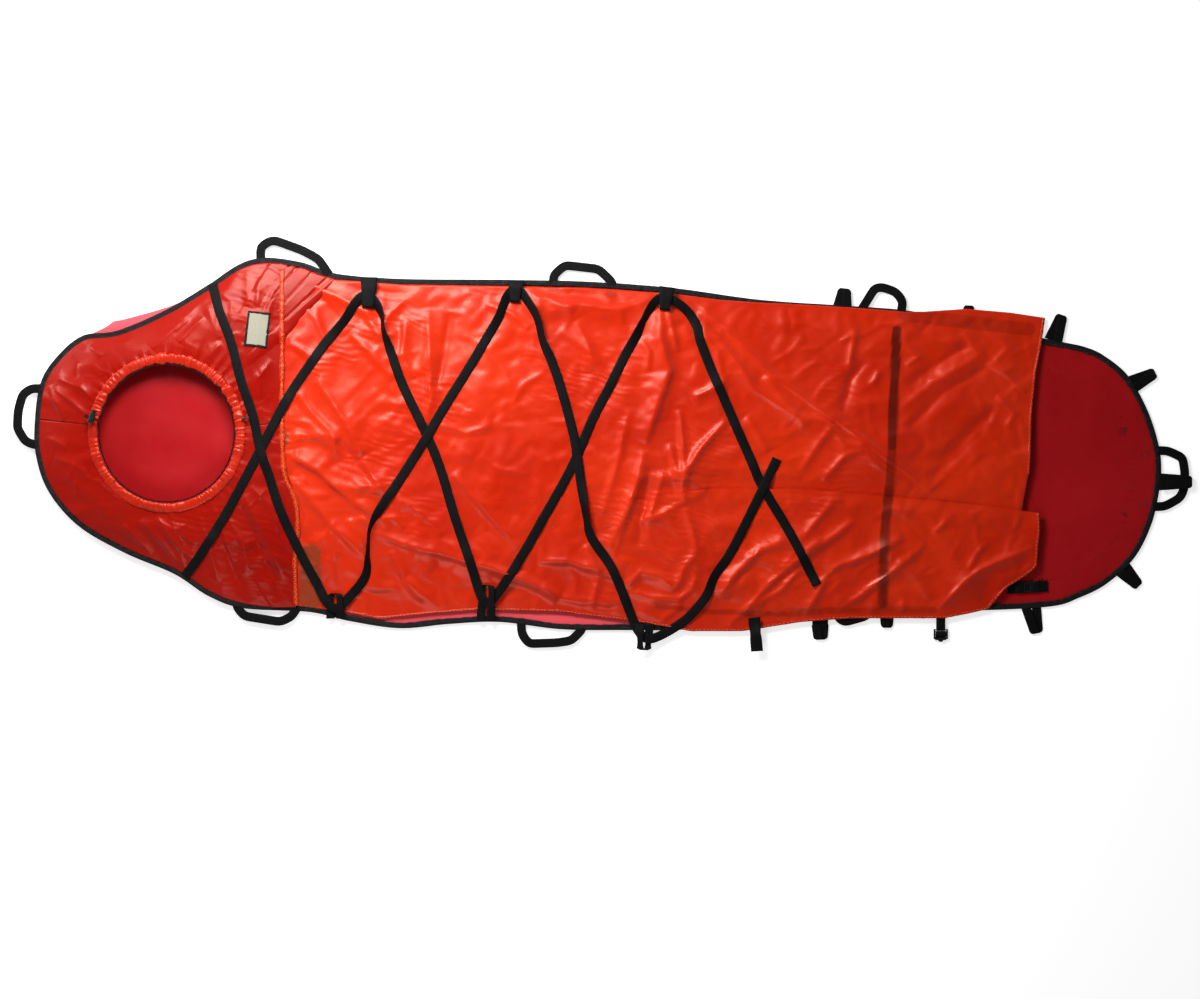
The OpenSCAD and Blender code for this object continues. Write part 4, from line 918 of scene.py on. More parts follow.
def paint_show_through_shade(piece, marks):
    """Paints per point the show-through shade: how much dark webbing (red) or patch (green) darkens the thin cloth's
    colour.
    """
    mesh = piece.data
    co = np.zeros(len(mesh.vertices) * 3)
    mesh.vertices.foreach_get("co", co)
    co = co.reshape(-1, 3) / MM
    dark = np.zeros(len(co))
    brown = np.zeros(len(co))
    for kind, path, half, amount in marks:
        p = np.array(path, float)
        r = np.full(len(co), 1e9)
        for a, b in zip(p[:-1], p[1:]):
            d = b - a
            t = np.clip(((co[:, :2] - a) @ d) / (d @ d), 0, 1)
            r = np.minimum(r, np.linalg.norm(co[:, :2] - a - t[:, None] * d, axis=1))
        hit = amount * smooth((half + 1.5 - r) / 3.0)
        if kind == "dark":
            dark = np.maximum(dark, hit)
        else:
            brown = np.maximum(brown, hit)
    attribute = mesh.color_attributes.new("under", "FLOAT_COLOR", "POINT")
    values = np.stack([dark, brown, np.zeros(len(co)), np.ones(len(co))], axis=1)
    attribute.data.foreach_set("color", values.reshape(-1).astype(np.float32))


# Pieces

def body_of_node(name):
    for body, solid_names in frame_bodies().items():
        if name in solid_names:
            return body
    raise RuntimeError(f"no body holds {name}")


def frame_bodies():
    bodies = frame["record"]["behaviour"]["bodies"]
    if isinstance(bodies, dict):
        return {k: (v if isinstance(v, list) else v["nodes"]) for k, v in bodies.items()}
    return {b["name"]: b["nodes"] for b in bodies}


def sewn_on(piece, node_name):
    """A webbing piece sewn to the rim takes the place of its solid: it is held by the solid's body, or baked where it
    lies when that body turns on a joint.
    """
    body = body_of_node(node_name)
    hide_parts(node_name)
    if body not in JOINTS:
        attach(piece, body)
        return
    joint = JOINTS[body]
    pos = Vector(joint["pos_m"])
    axis = Vector(joint["axis"]).normalized()
    low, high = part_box(node_name)
    away = (Vector(low) + Vector(high)) / 2 - pos
    away -= axis * away.dot(axis)
    away.z = 0
    away.normalize()
    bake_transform(piece)


def inside_rim(x, y):
    """How far a place lies inside the rim line, in millimetres, and negative outside."""
    d = np.hypot(RIM[:, 0] - x, RIM[:, 1] - y)
    i = int(d.argmin())
    return float((np.array((x, y)) - RIM[i]) @ RIM_IN[i])


def build_base():
    """The coated base from its edge inward, one sheet from head to foot."""
    x, y = RIM[:, 0], RIM[:, 1]
    b = rim_roll(x, y)
    h = BASE_T / 2 + rim_rise(x, y)
    e = BASE_T / 2
    stations = np.stack([
        np.stack([mix(2, 9, b), h], 1),
        np.stack([mix(14, -0.5 * ROLL_D, b), mix(h, h - 1, b)], 1),
        np.stack([mix(28, 2 - ROLL_D, b), mix(mix(h, e, 0.35), 0.5 * h, b)], 1),
        np.stack([mix(40, -0.4 * ROLL_D, b), mix(mix(h, e, 0.8), e + 1.2, b)], 1),
        np.stack([mix(54, 30, b), np.full_like(h, e)], 1)], 1)
    rows = []
    for i in range(len(RIM)):
        profile = curve_through(stations[i], 3)
        rows.append([(x[i] + RIM_IN[i, 0] * d, y[i] + RIM_IN[i, 1] * d, max(e, z)) for d, z in profile])
    rows = np.array(rows)
    rows = np.concatenate([rows, rows[:1]])
    edge = sheet_from_rows("base_cloth", rows, closed=True)
    # the middle is filled and cut into an even mesh
    inner = rows[:-1, -1]
    mesh = bmesh.new()
    loop = [mesh.verts.new(tuple(p * MM)) for p in inner]
    mesh.faces.new(loop)
    fold = np.array([(978 + 949) / 2, (204 - 349) / 2])
    fold_dir = np.array([949 - 978, -349 - 204], float)
    fold_dir /= np.linalg.norm(fold_dir)
    out = np.array([-fold_dir[1], fold_dir[0]])
    cuts = [((v * MM, 0, 0), (1, 0, 0)) for v in range(-1160, 1170, 22)]
    cuts += [((0, v * MM, 0), (0, 1, 0)) for v in range(-370, 350, 22)]
    cuts += [((*((fold + out * s) * MM), 0), (*out, 0)) for s in range(-28, 30, 7)]
    for co, no in cuts:
        bmesh.ops.bisect_plane(mesh, geom=mesh.verts[:] + mesh.edges[:] + mesh.faces[:], plane_co=co, plane_no=no, dist=1e-7)
    bmesh.ops.triangulate(mesh, faces=[f for f in mesh.faces if len(f.verts) > 4])
    data = bpy.data.meshes.new("base_middle")
    mesh.to_mesh(data)
    mesh.free()
    data.uv_layers.new(name="UVMap")
    middle = bpy.data.objects.new("base_middle", data)
    bpy.context.collection.objects.link(middle)
    face_up(middle)
    edge = join("base_cloth", [edge, middle])
    only(edge)
    bpy.ops.object.mode_set(mode="EDIT")
    bpy.ops.mesh.select_all(action="SELECT")
    bpy.ops.mesh.remove_doubles(threshold=2e-5)
    bpy.ops.mesh.normals_make_consistent(inside=False)
    bpy.ops.object.mode_set(mode="OBJECT")
    face_up(edge)
    mesh = edge.data
    co = np.zeros(len(mesh.vertices) * 3)
    mesh.vertices.foreach_get("co", co)
    co = co.reshape(-1, 3)
    px, py = co[:, 0] / MM, co[:, 1] / MM
    # soft swells in the face opening and at the foot, where nothing is sewn on
    face = smooth((165 - np.hypot(px - FACE_C[0], py - FACE_C[1])) / 60)
    foot = smooth((px - 1000) / 40) * smooth((1150 - px) / 40) * smooth((260 - np.abs(py + 60)) / 60)
    swell = cloth_noise(px, py, 0.013, 3.0) * 3.2 + 1.6 + np.abs(cloth_noise(px - 0.6 * py, 0.5 * py, 0.011, 9.0)) * 3
    co[:, 2] += (face * np.maximum(0, swell) * 1.25 + foot * np.maximum(0, swell) * 0.5) * MM
    mesh.vertices.foreach_set("co", co.reshape(-1))
    mesh.update()
    # painted highlight: a pale pink band along the rim at the head, the far side and the near side, where the upturned
    # edge faces the light
    from_rim = distance_to([tuple(p) for p in RIM[::4]], px, py)
    lit_rim_band = smooth((52 - from_rim) / 14)
    head = smooth((py - 150) / 40) * smooth((-640 - px) / 30) * smooth((px + 1100) / 30)
    side = smooth((py - 200) / 40) * smooth((px + 640) / 30) * smooth((-230 - px) / 30)
    near = smooth((-300 - py) / 20) * smooth((px + 600) / 60) * smooth((160 - px) / 60)
    painted_rim_light = lit_rim_band * np.maximum(np.maximum(head, side), near)
    paint = mesh.color_attributes.new("painted_rim_light", "FLOAT_COLOR", "POINT")
    paint.data.foreach_set("color", np.stack([painted_rim_light, painted_rim_light, painted_rim_light, np.ones_like(painted_rim_light)], 1).reshape(-1))
    finish_with(edge, "SOLIDIFY", thickness=BASE_T * MM, offset=0.0)
    only(edge)
    bpy.ops.object.shade_smooth()
    return edge


def build_binding():
    """Folded tape over the edge: wraps round it, puckered by its stitching."""
    x, y = RIM[:, 0], RIM[:, 1]
    length = np.concatenate([[0], np.cumsum(np.linalg.norm(np.diff(RIM, axis=0), axis=1))])
    rows = []
    rng = random.Random(5)
    phase = [rng.uniform(0, 6.28) for _ in range(4)]
    for i in range(len(RIM)):
        s = length[i]
        b = min(1.0, float(rim_roll(x[i], y[i])) * 4)
        z = BASE_T + float(rim_rise(x[i], y[i])) + GAP
        low = max(0.15, z - (BASE_T + GAP)) if b < 0.05 else z - mix(BASE_T + GAP, 0.6, b)
        pucker = 0.5 * math.sin(s / 3.1 + phase[0]) + 0.5 * math.sin(s / 4.7 + phase[1])
        slack = 0.6 * math.sin(s / 17 + phase[2]) + 0.4 * math.sin(s / 31 + phase[3])
        wide = 12 + 0.7 * pucker + 0.8 * slack
        up = 0.35 * pucker + 0.3 * slack
        section = [(0.5, low), (-0.3, low + 0.9), (-0.2, z + 1.2), (0.7, z + 2.6), (2.6, z + 3.1 + up),
                   (6.0, z + 3.0 + 0.5 * up), (8.6, z + 2.55), (10.2, z + 2.95 + up), (wide - 0.4, z + 2.5 + up),
                   (wide, z + 1.4), (wide - 0.8, z + 0.5), (8, z + 0.25), (2.4, z + 0.2), (1.6, low)]
        rows.append([(x[i] + RIM_IN[i, 0] * d, y[i] + RIM_IN[i, 1] * d, h) for d, h in section])
    rows = np.array(rows)
    rows = np.concatenate([rows, rows[:1]])
    rows = np.concatenate([rows, rows[:, :1]], axis=1)
    piece = sheet_from_rows("binding_edge", rows, closed=True)
    only(piece)
    bpy.ops.object.mode_set(mode="EDIT")
    bpy.ops.mesh.select_all(action="SELECT")
    bpy.ops.mesh.normals_make_consistent(inside=False)
    bpy.ops.object.mode_set(mode="OBJECT")
    points, ways, ups = [], [], []
    at = np.arange(0, length[-1], 5.2)
    way = headings(RIM, closed=True)
    for s in at:
        i = int(np.searchsorted(length, s) % len(RIM))
        z = BASE_T + float(rim_rise(x[i], y[i])) + GAP + 2.75
        points.append(np.array([x[i] + RIM_IN[i, 0] * 8.6, y[i] + RIM_IN[i, 1] * 8.6, z]))
        ways.append(np.array([way[i, 0], way[i, 1], 0]))
        ups.append(np.array([0, 0, 1.0]))
    seam = stitches("binding_stitches", points, ways, ups, 3.4, 0.8, 0.45, "thread")
    return piece, seam


def hood_outline():
    """Where the hood ends: on the binding round the head, and at the hem."""
    n = len(RIM)
    ring = RIM + RIM_IN * 11
    start, stop = int(10 * 16), int(26.6 * 16)
    line = list(ring[start:stop])
    hem = curve_through([(x - 1, y) for y, x in HEM_LINE], 6)
    return np.array(line + list(hem))


def reach_from_face(angles, outline):
    """Distance from the middle of the face opening to the outline, for each angle."""
    rel = outline - np.array(FACE_C)
    around = np.degrees(np.arctan2(rel[:, 1], rel[:, 0])) % 360
    order = np.argsort(around)
    far = np.hypot(rel[:, 0], rel[:, 1])
    a = np.concatenate([around[order] - 360, around[order], around[order] + 360])
    d = np.concatenate([far[order]] * 3)
    return np.interp(np.asarray(angles) % 360, a, d)


def hood_edge_z(x, y):
    right = cover_top(x) + crown(x, y) + 2.4
    left = cover_top(x) + np.where(x < -700, 7 * rim_roll(x, y), 0)
    return np.where(x > -690, right, left)


def hood_rows(start, stop, count, rings):
    outline = hood_outline()
    angles = np.linspace(start, stop, count)
    distance = reach_from_face(angles, outline)
    c, s = np.cos(np.radians(angles)), np.sin(np.radians(angles))
    inner = np.stack([FACE_C[0] + (FACE_R[0] + CASE_W - 4) * c, FACE_C[1] + (FACE_R[1] + CASE_W - 4) * s], 1)
    outer = np.stack([FACE_C[0] + distance * c, FACE_C[1] + distance * s], 1)
    t = np.linspace(0, 1, rings)[None, :]
    x = mix(inner[:, None, 0], outer[:, None, 0], t)
    y = mix(inner[:, None, 1], outer[:, None, 1], t)
    z1 = hood_edge_z(outer[:, 0], outer[:, 1])[:, None]
    z = mix(z1, FACE_H, 1 - t ** 1.6)
    fade = np.minimum(1, 4.5 * t * (1 - t) + 0.12)
    detail = 0.6 * broad(x, y, BROAD_HOOD) + creases(x, y, HOOD_FOLDS) + creases(x, y, MINOR_HOOD) + ripples(x, y)
    # gathers run out of the casing, stronger at the far foot side
    gather_at = 0.55 + 0.45 * np.cos(np.radians(angles - 55))[:, None]
    turns = np.radians(angles)[:, None]
    gathers = (np.sin(turns * 41 + 1.3 * np.sin(turns * 7)) + 0.6 * np.sin(turns * 67 + 2)) * 1.3 * gather_at * np.exp(-t * 9)
    detail = np.clip(detail, -5, 10)
    z = z + detail * fade + gathers
    return np.stack([x, y, z], 2)


def thin_cloth(name, rows, thick):
    """A sheet given its thickness, with flat cut edges so that the top keeps its own shading."""
    piece = sheet_from_rows(name, rows)
    before = len(piece.data.polygons)
    finish_with(piece, "SOLIDIFY", thickness=thick * MM, offset=0.0)
    for face in piece.data.polygons[2 * before:]:
        face.use_smooth = False
    return piece


def build_hood():
    panels = []
    for name, start, stop, count in (("hood_far_cloth", 5.4, 173.6, 330), ("hood_near_cloth", 173.9, 365.1, 370)):
        rows = hood_rows(start, stop, count, 74)
        piece = thin_cloth(name, rows, 0.45)
        # the hood's darker colour is painted shade
        wear(piece, "hood_cloth_painted_shade")
        panels.append(piece)
    return panels


def flap_rows(which, step):
    if which == "far":
        u = np.linspace(0, 1, int(1555 / step))[:, None]
        v = np.linspace(0, 1, int(545 / step))[None, :]
        tucked_rows = int(60 / step)
        v = np.concatenate([np.linspace(0, 0.1, tucked_rows), np.linspace(0.1, 1, v.shape[1] - tucked_rows)])[None, :]
        y0 = mix(-215, 360, v)
        x = mix(look([(a, b) for a, b in HEM_LINE], y0) + 1, look(FAR_END, mix(-215, 256, v)), u)
        lap, tucked = look(LAP_EDGE, x), np.arange(v.shape[1])[None, :] < tucked_rows
        y = np.where(tucked, mix(lap - 60, lap - 2.5, v / 0.1), mix(lap + 0.3, look(FAR_EDGE, x), (v - 0.1) / 0.9))
        z = far_form(x, y)
    else:
        u = np.linspace(0, 1, int(1555 / step))[:, None]
        v = np.linspace(0, 1, int(255 / step))[None, :]
        x = mix(look(HEM_LINE, mix(-344, -156, v)) + 1, look(NEAR_END, mix(-355, -153, v)), u)
        y = mix(look(NEAR_EDGE, x), look(LAP_EDGE, x), v)
        z = near_form(x, y)
    return np.stack([x, y, z], 2)


def crumpled(rows, which):
    """The flap is let loose as cloth a little too large for its seams, and its own wrinkles are taken over."""
    n, m = rows.shape[0] // 2, rows.shape[1] // 2
    pick_n, pick_m = np.linspace(0, rows.shape[0] - 1, n), np.linspace(0, rows.shape[1] - 1, m)
    start = rows[np.rint(pick_n).astype(int)][:, np.rint(pick_m).astype(int)]
    sheet = sheet_from_rows("loose_cloth", start)
    group = sheet.vertex_groups.new(name="seams")
    index = np.arange(n * m).reshape(n, m)
    border = np.concatenate([index[0], index[-1], index[:, 0], index[:, -1]])
    group.add([int(i) for i in border], 1.0, "REPLACE")
    x, y = start[:, :, 0].ravel(), start[:, :, 1].ravel()
    held = np.zeros(n * m)
    for line in (STRAP_A, STRAP_B):
        held = np.maximum(held, smooth(1.6 - distance_to([(a, b) for a, b, _ in line], x, y) / 12))
    for i in np.nonzero(held > 0.5)[0]:
        group.add([int(i)], 0.8, "REPLACE")
    modifier = sheet.modifiers.new("cloth", "CLOTH")
    cloth = modifier.settings
    cloth.quality = 5
    cloth.mass = 0.09
    cloth.tension_stiffness, cloth.compression_stiffness, cloth.shear_stiffness = 18, 18, 9
    cloth.bending_stiffness = 0.03
    cloth.air_damping = 4.0
    cloth.shrink_min = -CLOTH_SLACK
    cloth.vertex_group_mass = "seams"
    cloth.pin_stiffness = 1.0
    cloth.effector_weights.gravity = 0.0
    modifier.collision_settings.use_collision = False
    modifier.point_cache.frame_start, modifier.point_cache.frame_end = 1, CLOTH_FRAMES
    for frame_number in range(1, CLOTH_FRAMES + 1):
        bpy.context.scene.frame_set(frame_number)
    only(sheet)
    bpy.ops.object.modifier_apply(modifier="cloth")
    bpy.context.scene.frame_set(1)
    co = np.zeros(n * m * 3)
    sheet.data.vertices.foreach_get("co", co)
    moved = co.reshape(n, m, 3) / MM - start
    bpy.data.objects.remove(sheet)
    if not np.isfinite(moved).all():
        raise RuntimeError("the loose cloth did not settle")
    moved -= 0.6 * blurred(moved, 5)
    up = np.clip(moved[:, :, 2], -9, 9)
    moved[:, :, 2] = np.where(up < 0, 2.2 * np.tanh(up / 3.0), 4.5 * np.tanh(up / 5.0))
    moved[:, :, :2] = 3 * np.tanh(moved[:, :, :2] / 3)
    fine = np.zeros_like(rows)
    for k in range(3):
        across_rows = np.stack([np.interp(np.arange(rows.shape[0]), pick_n, moved[:, j, k]) for j in range(m)], 1)
        fine[:, :, k] = np.stack([np.interp(np.arange(rows.shape[1]), pick_m, across_rows[i]) for i in range(rows.shape[0])])
    calm = smooth(np.minimum(np.arange(rows.shape[1]), rows.shape[1] - 1 - np.arange(rows.shape[1])) / 6)[None, :, None]
    calm = calm * smooth(np.minimum(np.arange(rows.shape[0]), rows.shape[0] - 1 - np.arange(rows.shape[0])) / 4)[:, None, None]
    if which == "far":
        under = smooth((rows[:, :, 1] - look(LAP_EDGE, rows[:, :, 0]) - 4) / 25)[:, :, None]
        calm = calm * (0.0 + 1.0 * under)
    return rows + blurred(fine, 1) * calm


def blurred(field, times):
    """Neighbouring values averaged, the border kept."""
    out = field.copy()
    for _ in range(times):
        out[1:-1] = (out[:-2] + 2 * out[1:-1] + out[2:]) / 4
        out[:, 1:-1] = (out[:, :-2] + 2 * out[:, 1:-1] + out[:, 2:]) / 4
    return out


def distance_to(path, x, y):
    """Distance of each place from a line of points."""
    best = np.full(np.shape(x), 1e9)
    for a, b in zip(path[:-1], path[1:]):
        dx, dy = b[0] - a[0], b[1] - a[1]
        t = np.clip(((x - a[0]) * dx + (y - a[1]) * dy) / max(1e-9, dx * dx + dy * dy), 0, 1)
        best = np.minimum(best, np.hypot(x - a[0] - dx * t, y - a[1] - dy * t))
    return best


CLOTH_SLACK = 0.018
CLOTH_FRAMES = 26

# Painted show-through shade on the cover: kind, path, half width, strength; dark over webbing and binding, brown over
# the patches
SHOW_THROUGH_SHADE_MARKS = [
    ("dark", [(622, 229), (615, 92), (611, -13)], 10, 0.85),
    ("dark", [(611, -13), (605, -105)], 10, 0.6), ("dark", [(605, -105), (598, -168), (594, -244), (592, -345)], 10, 0.75),
    ("dark", [(400, -366), (470, -358), (600, -358), (700, -358)], 7, 0.35),
    ("brown", [(-605, -240), (-607, -335)], 22, 0.75),
    ("brown", [(-728, 2), (-670, 2)], 21, 0.8),
    ("dark", [(-108, 318), (-92, 318)], 8, 0.35), ("dark", [(18, 306), (30, 306)], 8, 0.35),
    ("dark", [(640, 262), (740, 250), (900, 232)], 14, 0.28),
    ("dark", [(120, -350), (250, -361), (400, -366)], 5, 0.4),
]


def build_flaps():
    step = bpy.context.scene.sled_sizes.cloth_step / MM
    pieces = []
    for name, which in (("far_flap_cloth", "far"), ("near_flap_cloth", "near")):
        rows = flap_rows(which, step)
        rows = crumpled(rows, which)
        # a narrow row beside the lap keeps the bend there from shading the cloth next to it
        if which == "far":
            k = int(60 / step)
            rows = np.insert(rows, k + 1, mix(rows[:, k], rows[:, k + 1], 0.06), axis=1)
        else:
            rows = np.insert(rows, -1, mix(rows[:, -1], rows[:, -2], 0.06), axis=1)
        piece = thin_cloth(name, rows, 0.4)
        paint_show_through_shade(piece, SHOW_THROUGH_SHADE_MARKS)
        wear(piece, "cover_cloth")
        pieces.append(piece)
    return pieces


def hem_points():
    line = curve_through([(x, y) for y, x in HEM_LINE], 40)
    return even_steps(line, 2.5)


def build_hem():
    """The gathered band where hood and flaps meet, with its zigzag of thread."""
    line = hem_points()
    keep = (line[:, 1] > -347) & (line[:, 1] < 356)
    line = line[keep]
    way = headings(line)
    side = left_of(way)
    s = np.arange(len(line)) * 2.5
    rng = random.Random(8)
    lumps = 0.9 * np.sin(s / 3.3) + 0.7 * np.sin(s / 2.1 + 1.0) + np.array([rng.gauss(0, 0.35) for _ in s])
    z = lay_on(line, 1.0, 5.0, 6)
    rows = []
    for i in range(len(line)):
        half = 5.0 + 0.9 * math.sin(s[i] / 11.0) + 0.5 * lumps[i]
        row = []
        for t in np.linspace(-1, 1, 11):
            up = (1 - abs(t) ** 2.4) * (1.0 + 0.45 * lumps[i] * (1 - t * t))
            row.append((line[i, 0] + side[i, 0] * half * t, line[i, 1] + side[i, 1] * half * t, z[i] - 0.4 + up))
        rows.append(row)
    piece = sheet_from_rows("hem_band", rows)
    finish_with(piece, "SOLIDIFY", thickness=0.6 * MM, offset=-1.0)
    wear(piece, "hem_cloth")
    points, ways, ups = [], [], []
    for k in range(0, len(line) - 2, 2):
        i = k
        sign = 1 if (k // 2) % 2 else -1
        p = np.array([line[i, 0], line[i, 1], z[i] + 0.95])
        points.append(p)
        ways.append(np.array([way[i, 0], way[i, 1], 0]) * 0.8 + np.array([side[i, 0], side[i, 1], 0]) * sign)
        ups.append(np.array([0, 0, 1.0]))
    seam = stitches("hem_stitches", points, ways, ups, 6.0, 1.0, 0.5, "hem_thread")
    return piece, seam


def build_flap_hems():
    """Narrow rolled hems along the free edges of the flaps, each with its row of orange stitches."""
    lines = {
        "near_flap_hem": [(x, y + 3.2) for x, y in NEAR_EDGE if x > -640] + [(x - 3.4, y) for y, x in NEAR_END[1:]],
        "far_flap_hem": [(x - 3.4, y) for y, x in FAR_END if y > look(LAP_EDGE, x) + 6],
    }
    made = []
    for name, points in lines.items():
        line = even_steps(np.array(points, float), 4.0)
        for _ in range(3):
            line[1:-1] = (line[:-2] + 2 * line[1:-1] + line[2:]) / 4
        side = left_of(headings(line))
        rng = random.Random(len(name))
        z = lay_on(line, 0.45, 2.5, 2)
        rows = []
        for i in range(len(line)):
            half = 2.9 + rng.uniform(-0.9, 0.9)
            lump = 0.9 * rng.uniform(0, 1) + 0.5 * math.sin(i / 2.7) * math.sin(i / 7.1)
            rows.append([(line[i, 0] + side[i, 0] * half * t, line[i, 1] + side[i, 1] * half * t,
                          z[i] + (0.7 + lump) * (1 - abs(t) ** 2.2)) for t in np.linspace(-1, 1, 7)])
        piece = sheet_from_rows(name, rows)
        finish_with(piece, "SOLIDIFY", thickness=0.4 * MM, offset=-1.0)
        wear(piece, "casing_cloth")
        way = headings(line)
        spots = [(line[i, 0] + rng.uniform(-0.6, 0.6), line[i, 1] + rng.uniform(-0.6, 0.6), z[i] + 1.35)
                 for i in range(0, len(line), 2)]
        ways = [(way[i, 0], way[i, 1], 0) for i in range(0, len(line), 2)]
        seam = stitches(name + "_stitches", np.array(spots), np.array(ways, float), np.tile((0, 0, 1.0), (len(spots), 1)),
                        5.2, 1.0, 0.5, "hem_thread")
        made += [piece, seam]
    return made


def build_casing():
    """Tube of cloth round the face opening, drawn into ruffles by the cord."""
    count = 760
    angle = np.linspace(0, 2 * math.pi, count, endpoint=False)
    rng = random.Random(17)
    waves = [(rng.choice((7, 11, 17, 23, 31, 37, 43, 59)), rng.uniform(0, 6.28), rng.uniform(0.5, 1.0)) for _ in range(9)]
    strong = 0.4 + 0.6 * np.clip(0.5 + 0.5 * np.cos(angle - math.radians(60)) ** 1, 0, 1) ** 1.5
    pinch = np.abs(np.sin(41 * angle + 2.2 * np.sin(7 * angle) + 1.6 * np.sin(13 * angle + 1)))
    ruffle = sum(a * np.sin(k * angle + p) for k, p, a in waves) / 3.4 + 0.8 - 1.5 * (1 - pinch) ** 2.0
    rows = []
    for i, a in enumerate(angle):
        row = []
        for k in range(16):
            q = 2 * math.pi * k / 16
            r = CASE_W / 2 + math.cos(q) * (CASE_W / 2 - 1.2 + 1.9 * ruffle[i] * strong[i])
            shift = 0.5 * math.sin(q * 2 + 3 * ruffle[i] + 4 * a) * strong[i]
            up = 1 + math.sin(q) * (2.7 + 1.5 * ruffle[i] * strong[i]) + shift
            aa = a + 0.006 * strong[i] * math.sin(q + i * 0.35)
            row.append((FACE_C[0] + (FACE_R[0] + r) * math.cos(aa), FACE_C[1] + (FACE_R[1] + r) * math.sin(aa), FACE_H + up))
        rows.append(row + row[:1])
    rows.append(rows[0])
    piece = sheet_from_rows("face_casing_cloth", rows, closed=True)
    only(piece)
    bpy.ops.object.mode_set(mode="EDIT")
    bpy.ops.mesh.select_all(action="SELECT")
    bpy.ops.mesh.normals_make_consistent(inside=False)
    bpy.ops.object.mode_set(mode="OBJECT")
    wear(piece, "casing_cloth")
    return piece


def lay_strap(name, line, eyes, over):
    """A lacing strap over the cover, through the loops' eyes, standing on edge where the path says so."""
    path = even_steps(curve_through(line, 6), 5.0)
    plan, roll = path[:, :2], np.radians(path[:, 2])
    way = headings(plan)
    side = left_of(way)
    low = []
    for i, (x, y) in enumerate(plan):
        spots = [top_at(x + side[i, 0] * k * math.cos(roll[i]), y + side[i, 1] * k * math.cos(roll[i])) for k in (-9, -3, 3, 9)]
        low.append(max(spots) + 1.1 + 10 * math.sin(abs(roll[i])))
    low = np.array(low)
    for ex, ey, ez in eyes:
        r = np.hypot(plan[:, 0] - ex, plan[:, 1] - ey)
        low = mix(low, np.maximum(low, ez), smooth(1.5 - r / 40))
    z = low.copy()
    for _ in range(5):
        z[1:-1] = np.maximum(low[1:-1], (z[:-2] + z[2:]) / 2)
    for _ in range(4):
        z[1:-1] = (z[:-2] + 2 * z[1:-1] + z[2:]) / 4
    centres = np.stack([plan[:, 0], plan[:, 1], z], 1)
    sides = np.stack([side[:, 0] * np.cos(roll), side[:, 1] * np.cos(roll), np.sin(roll)], 1)
    width = bpy.context.scene.sled_sizes.web_width / MM
    piece = band(name, centres, sides, width, 1.3, columns=5, crown_mm=0.3)
    wear(piece, "black_webbing")
    return piece


def leg_width(t):
    """The two legs touch near the rim and leave an eye between them before the turn."""
    return 17.4 - 5.6 * math.sin(math.pi * min(1.0, max(0.0, (t - 0.45) / 0.6))) ** 0.6


def lace_loop(root, direction, reach, wide, tip, base_z):
    """Edge loop: webbing from the rim, round the eye and back over itself. Two legs stand apart at the near side."""
    a = math.radians(direction)
    d = np.array([math.cos(a), math.sin(a)])
    n = np.array([-d[1], d[0]])
    apart = tip >= 30
    eye = 4.2
    z_low = base_z + 0.9
    z_top = z_low + 2 * eye
    straight = reach - eye
    points, widths = [], []
    for t in np.linspace(0.03, 1, 12):
        off = (0.27 * mix(wide, tip, t)) if apart else 0.0
        points.append((*(np.array(root) + d * straight * t + n * off), z_low))
        widths.append(leg_width(t) if apart else mix(0.86 * wide, 0.9 * tip, t ** 0.8))
    for q in np.linspace(-80, 80, 8):
        qa = math.radians(q)
        off = mix(0.27 * tip, -0.27 * tip, (q + 80) / 160) if apart else 0.0
        points.append((*(np.array(root) + d * (straight + eye * math.cos(qa)) + n * off), z_low + eye + eye * math.sin(qa)))
        widths.append(15.0 if apart else 0.9 * tip)
    for t in np.linspace(1, 0.03, 12):
        off = (0.27 * mix(wide, tip, t)) if apart else 0.0
        settle = smooth((0.45 - t) / 0.5)
        points.append((*(np.array(root) + d * straight * t - n * off), mix(z_top, z_low + 3.0, settle)))
        widths.append(leg_width(t) if apart else mix(0.82 * wide, 0.86 * tip, t ** 0.8))
    points = np.array(points)
    sides = np.tile(np.array([n[0], n[1], 0.0]), (len(points), 1))
    return points, sides, np.array(widths)


def tip_height(root, direction, reach):
    a = math.radians(direction)
    return max(top_at(root[0] + r * math.cos(a), root[1] + r * math.sin(a)) for r in range(-4, int(reach) + 6, 4))


def build_lace_loops():
    pieces, eyes = [], []
    plan = {}
    for name, loops in LACE_LOOPS.items():
        for root, direction, reach, wide, tip in loops:
            base = tip_height(root, direction, reach)
            a = math.radians(direction)
            eyes.append((root[0] + math.cos(a) * (reach - 4), root[1] + math.sin(a) * (reach - 4), base + 0.9 + 4.2))
            plan.setdefault(name, []).append((root, direction, reach, wide, tip, base))
    for name, loops in plan.items():
        parts = []
        for root, direction, reach, wide, tip, base in loops:
            points, sides, width = lace_loop(root, direction, reach, wide, tip, base)
            parts.append(band(name, points, sides, width, 1.3))
        piece = join(name + "_web", parts)
        wear(piece, "black_webbing")
        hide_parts(name)
        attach(piece, "sled")
        pieces.append(piece)
    return pieces, eyes


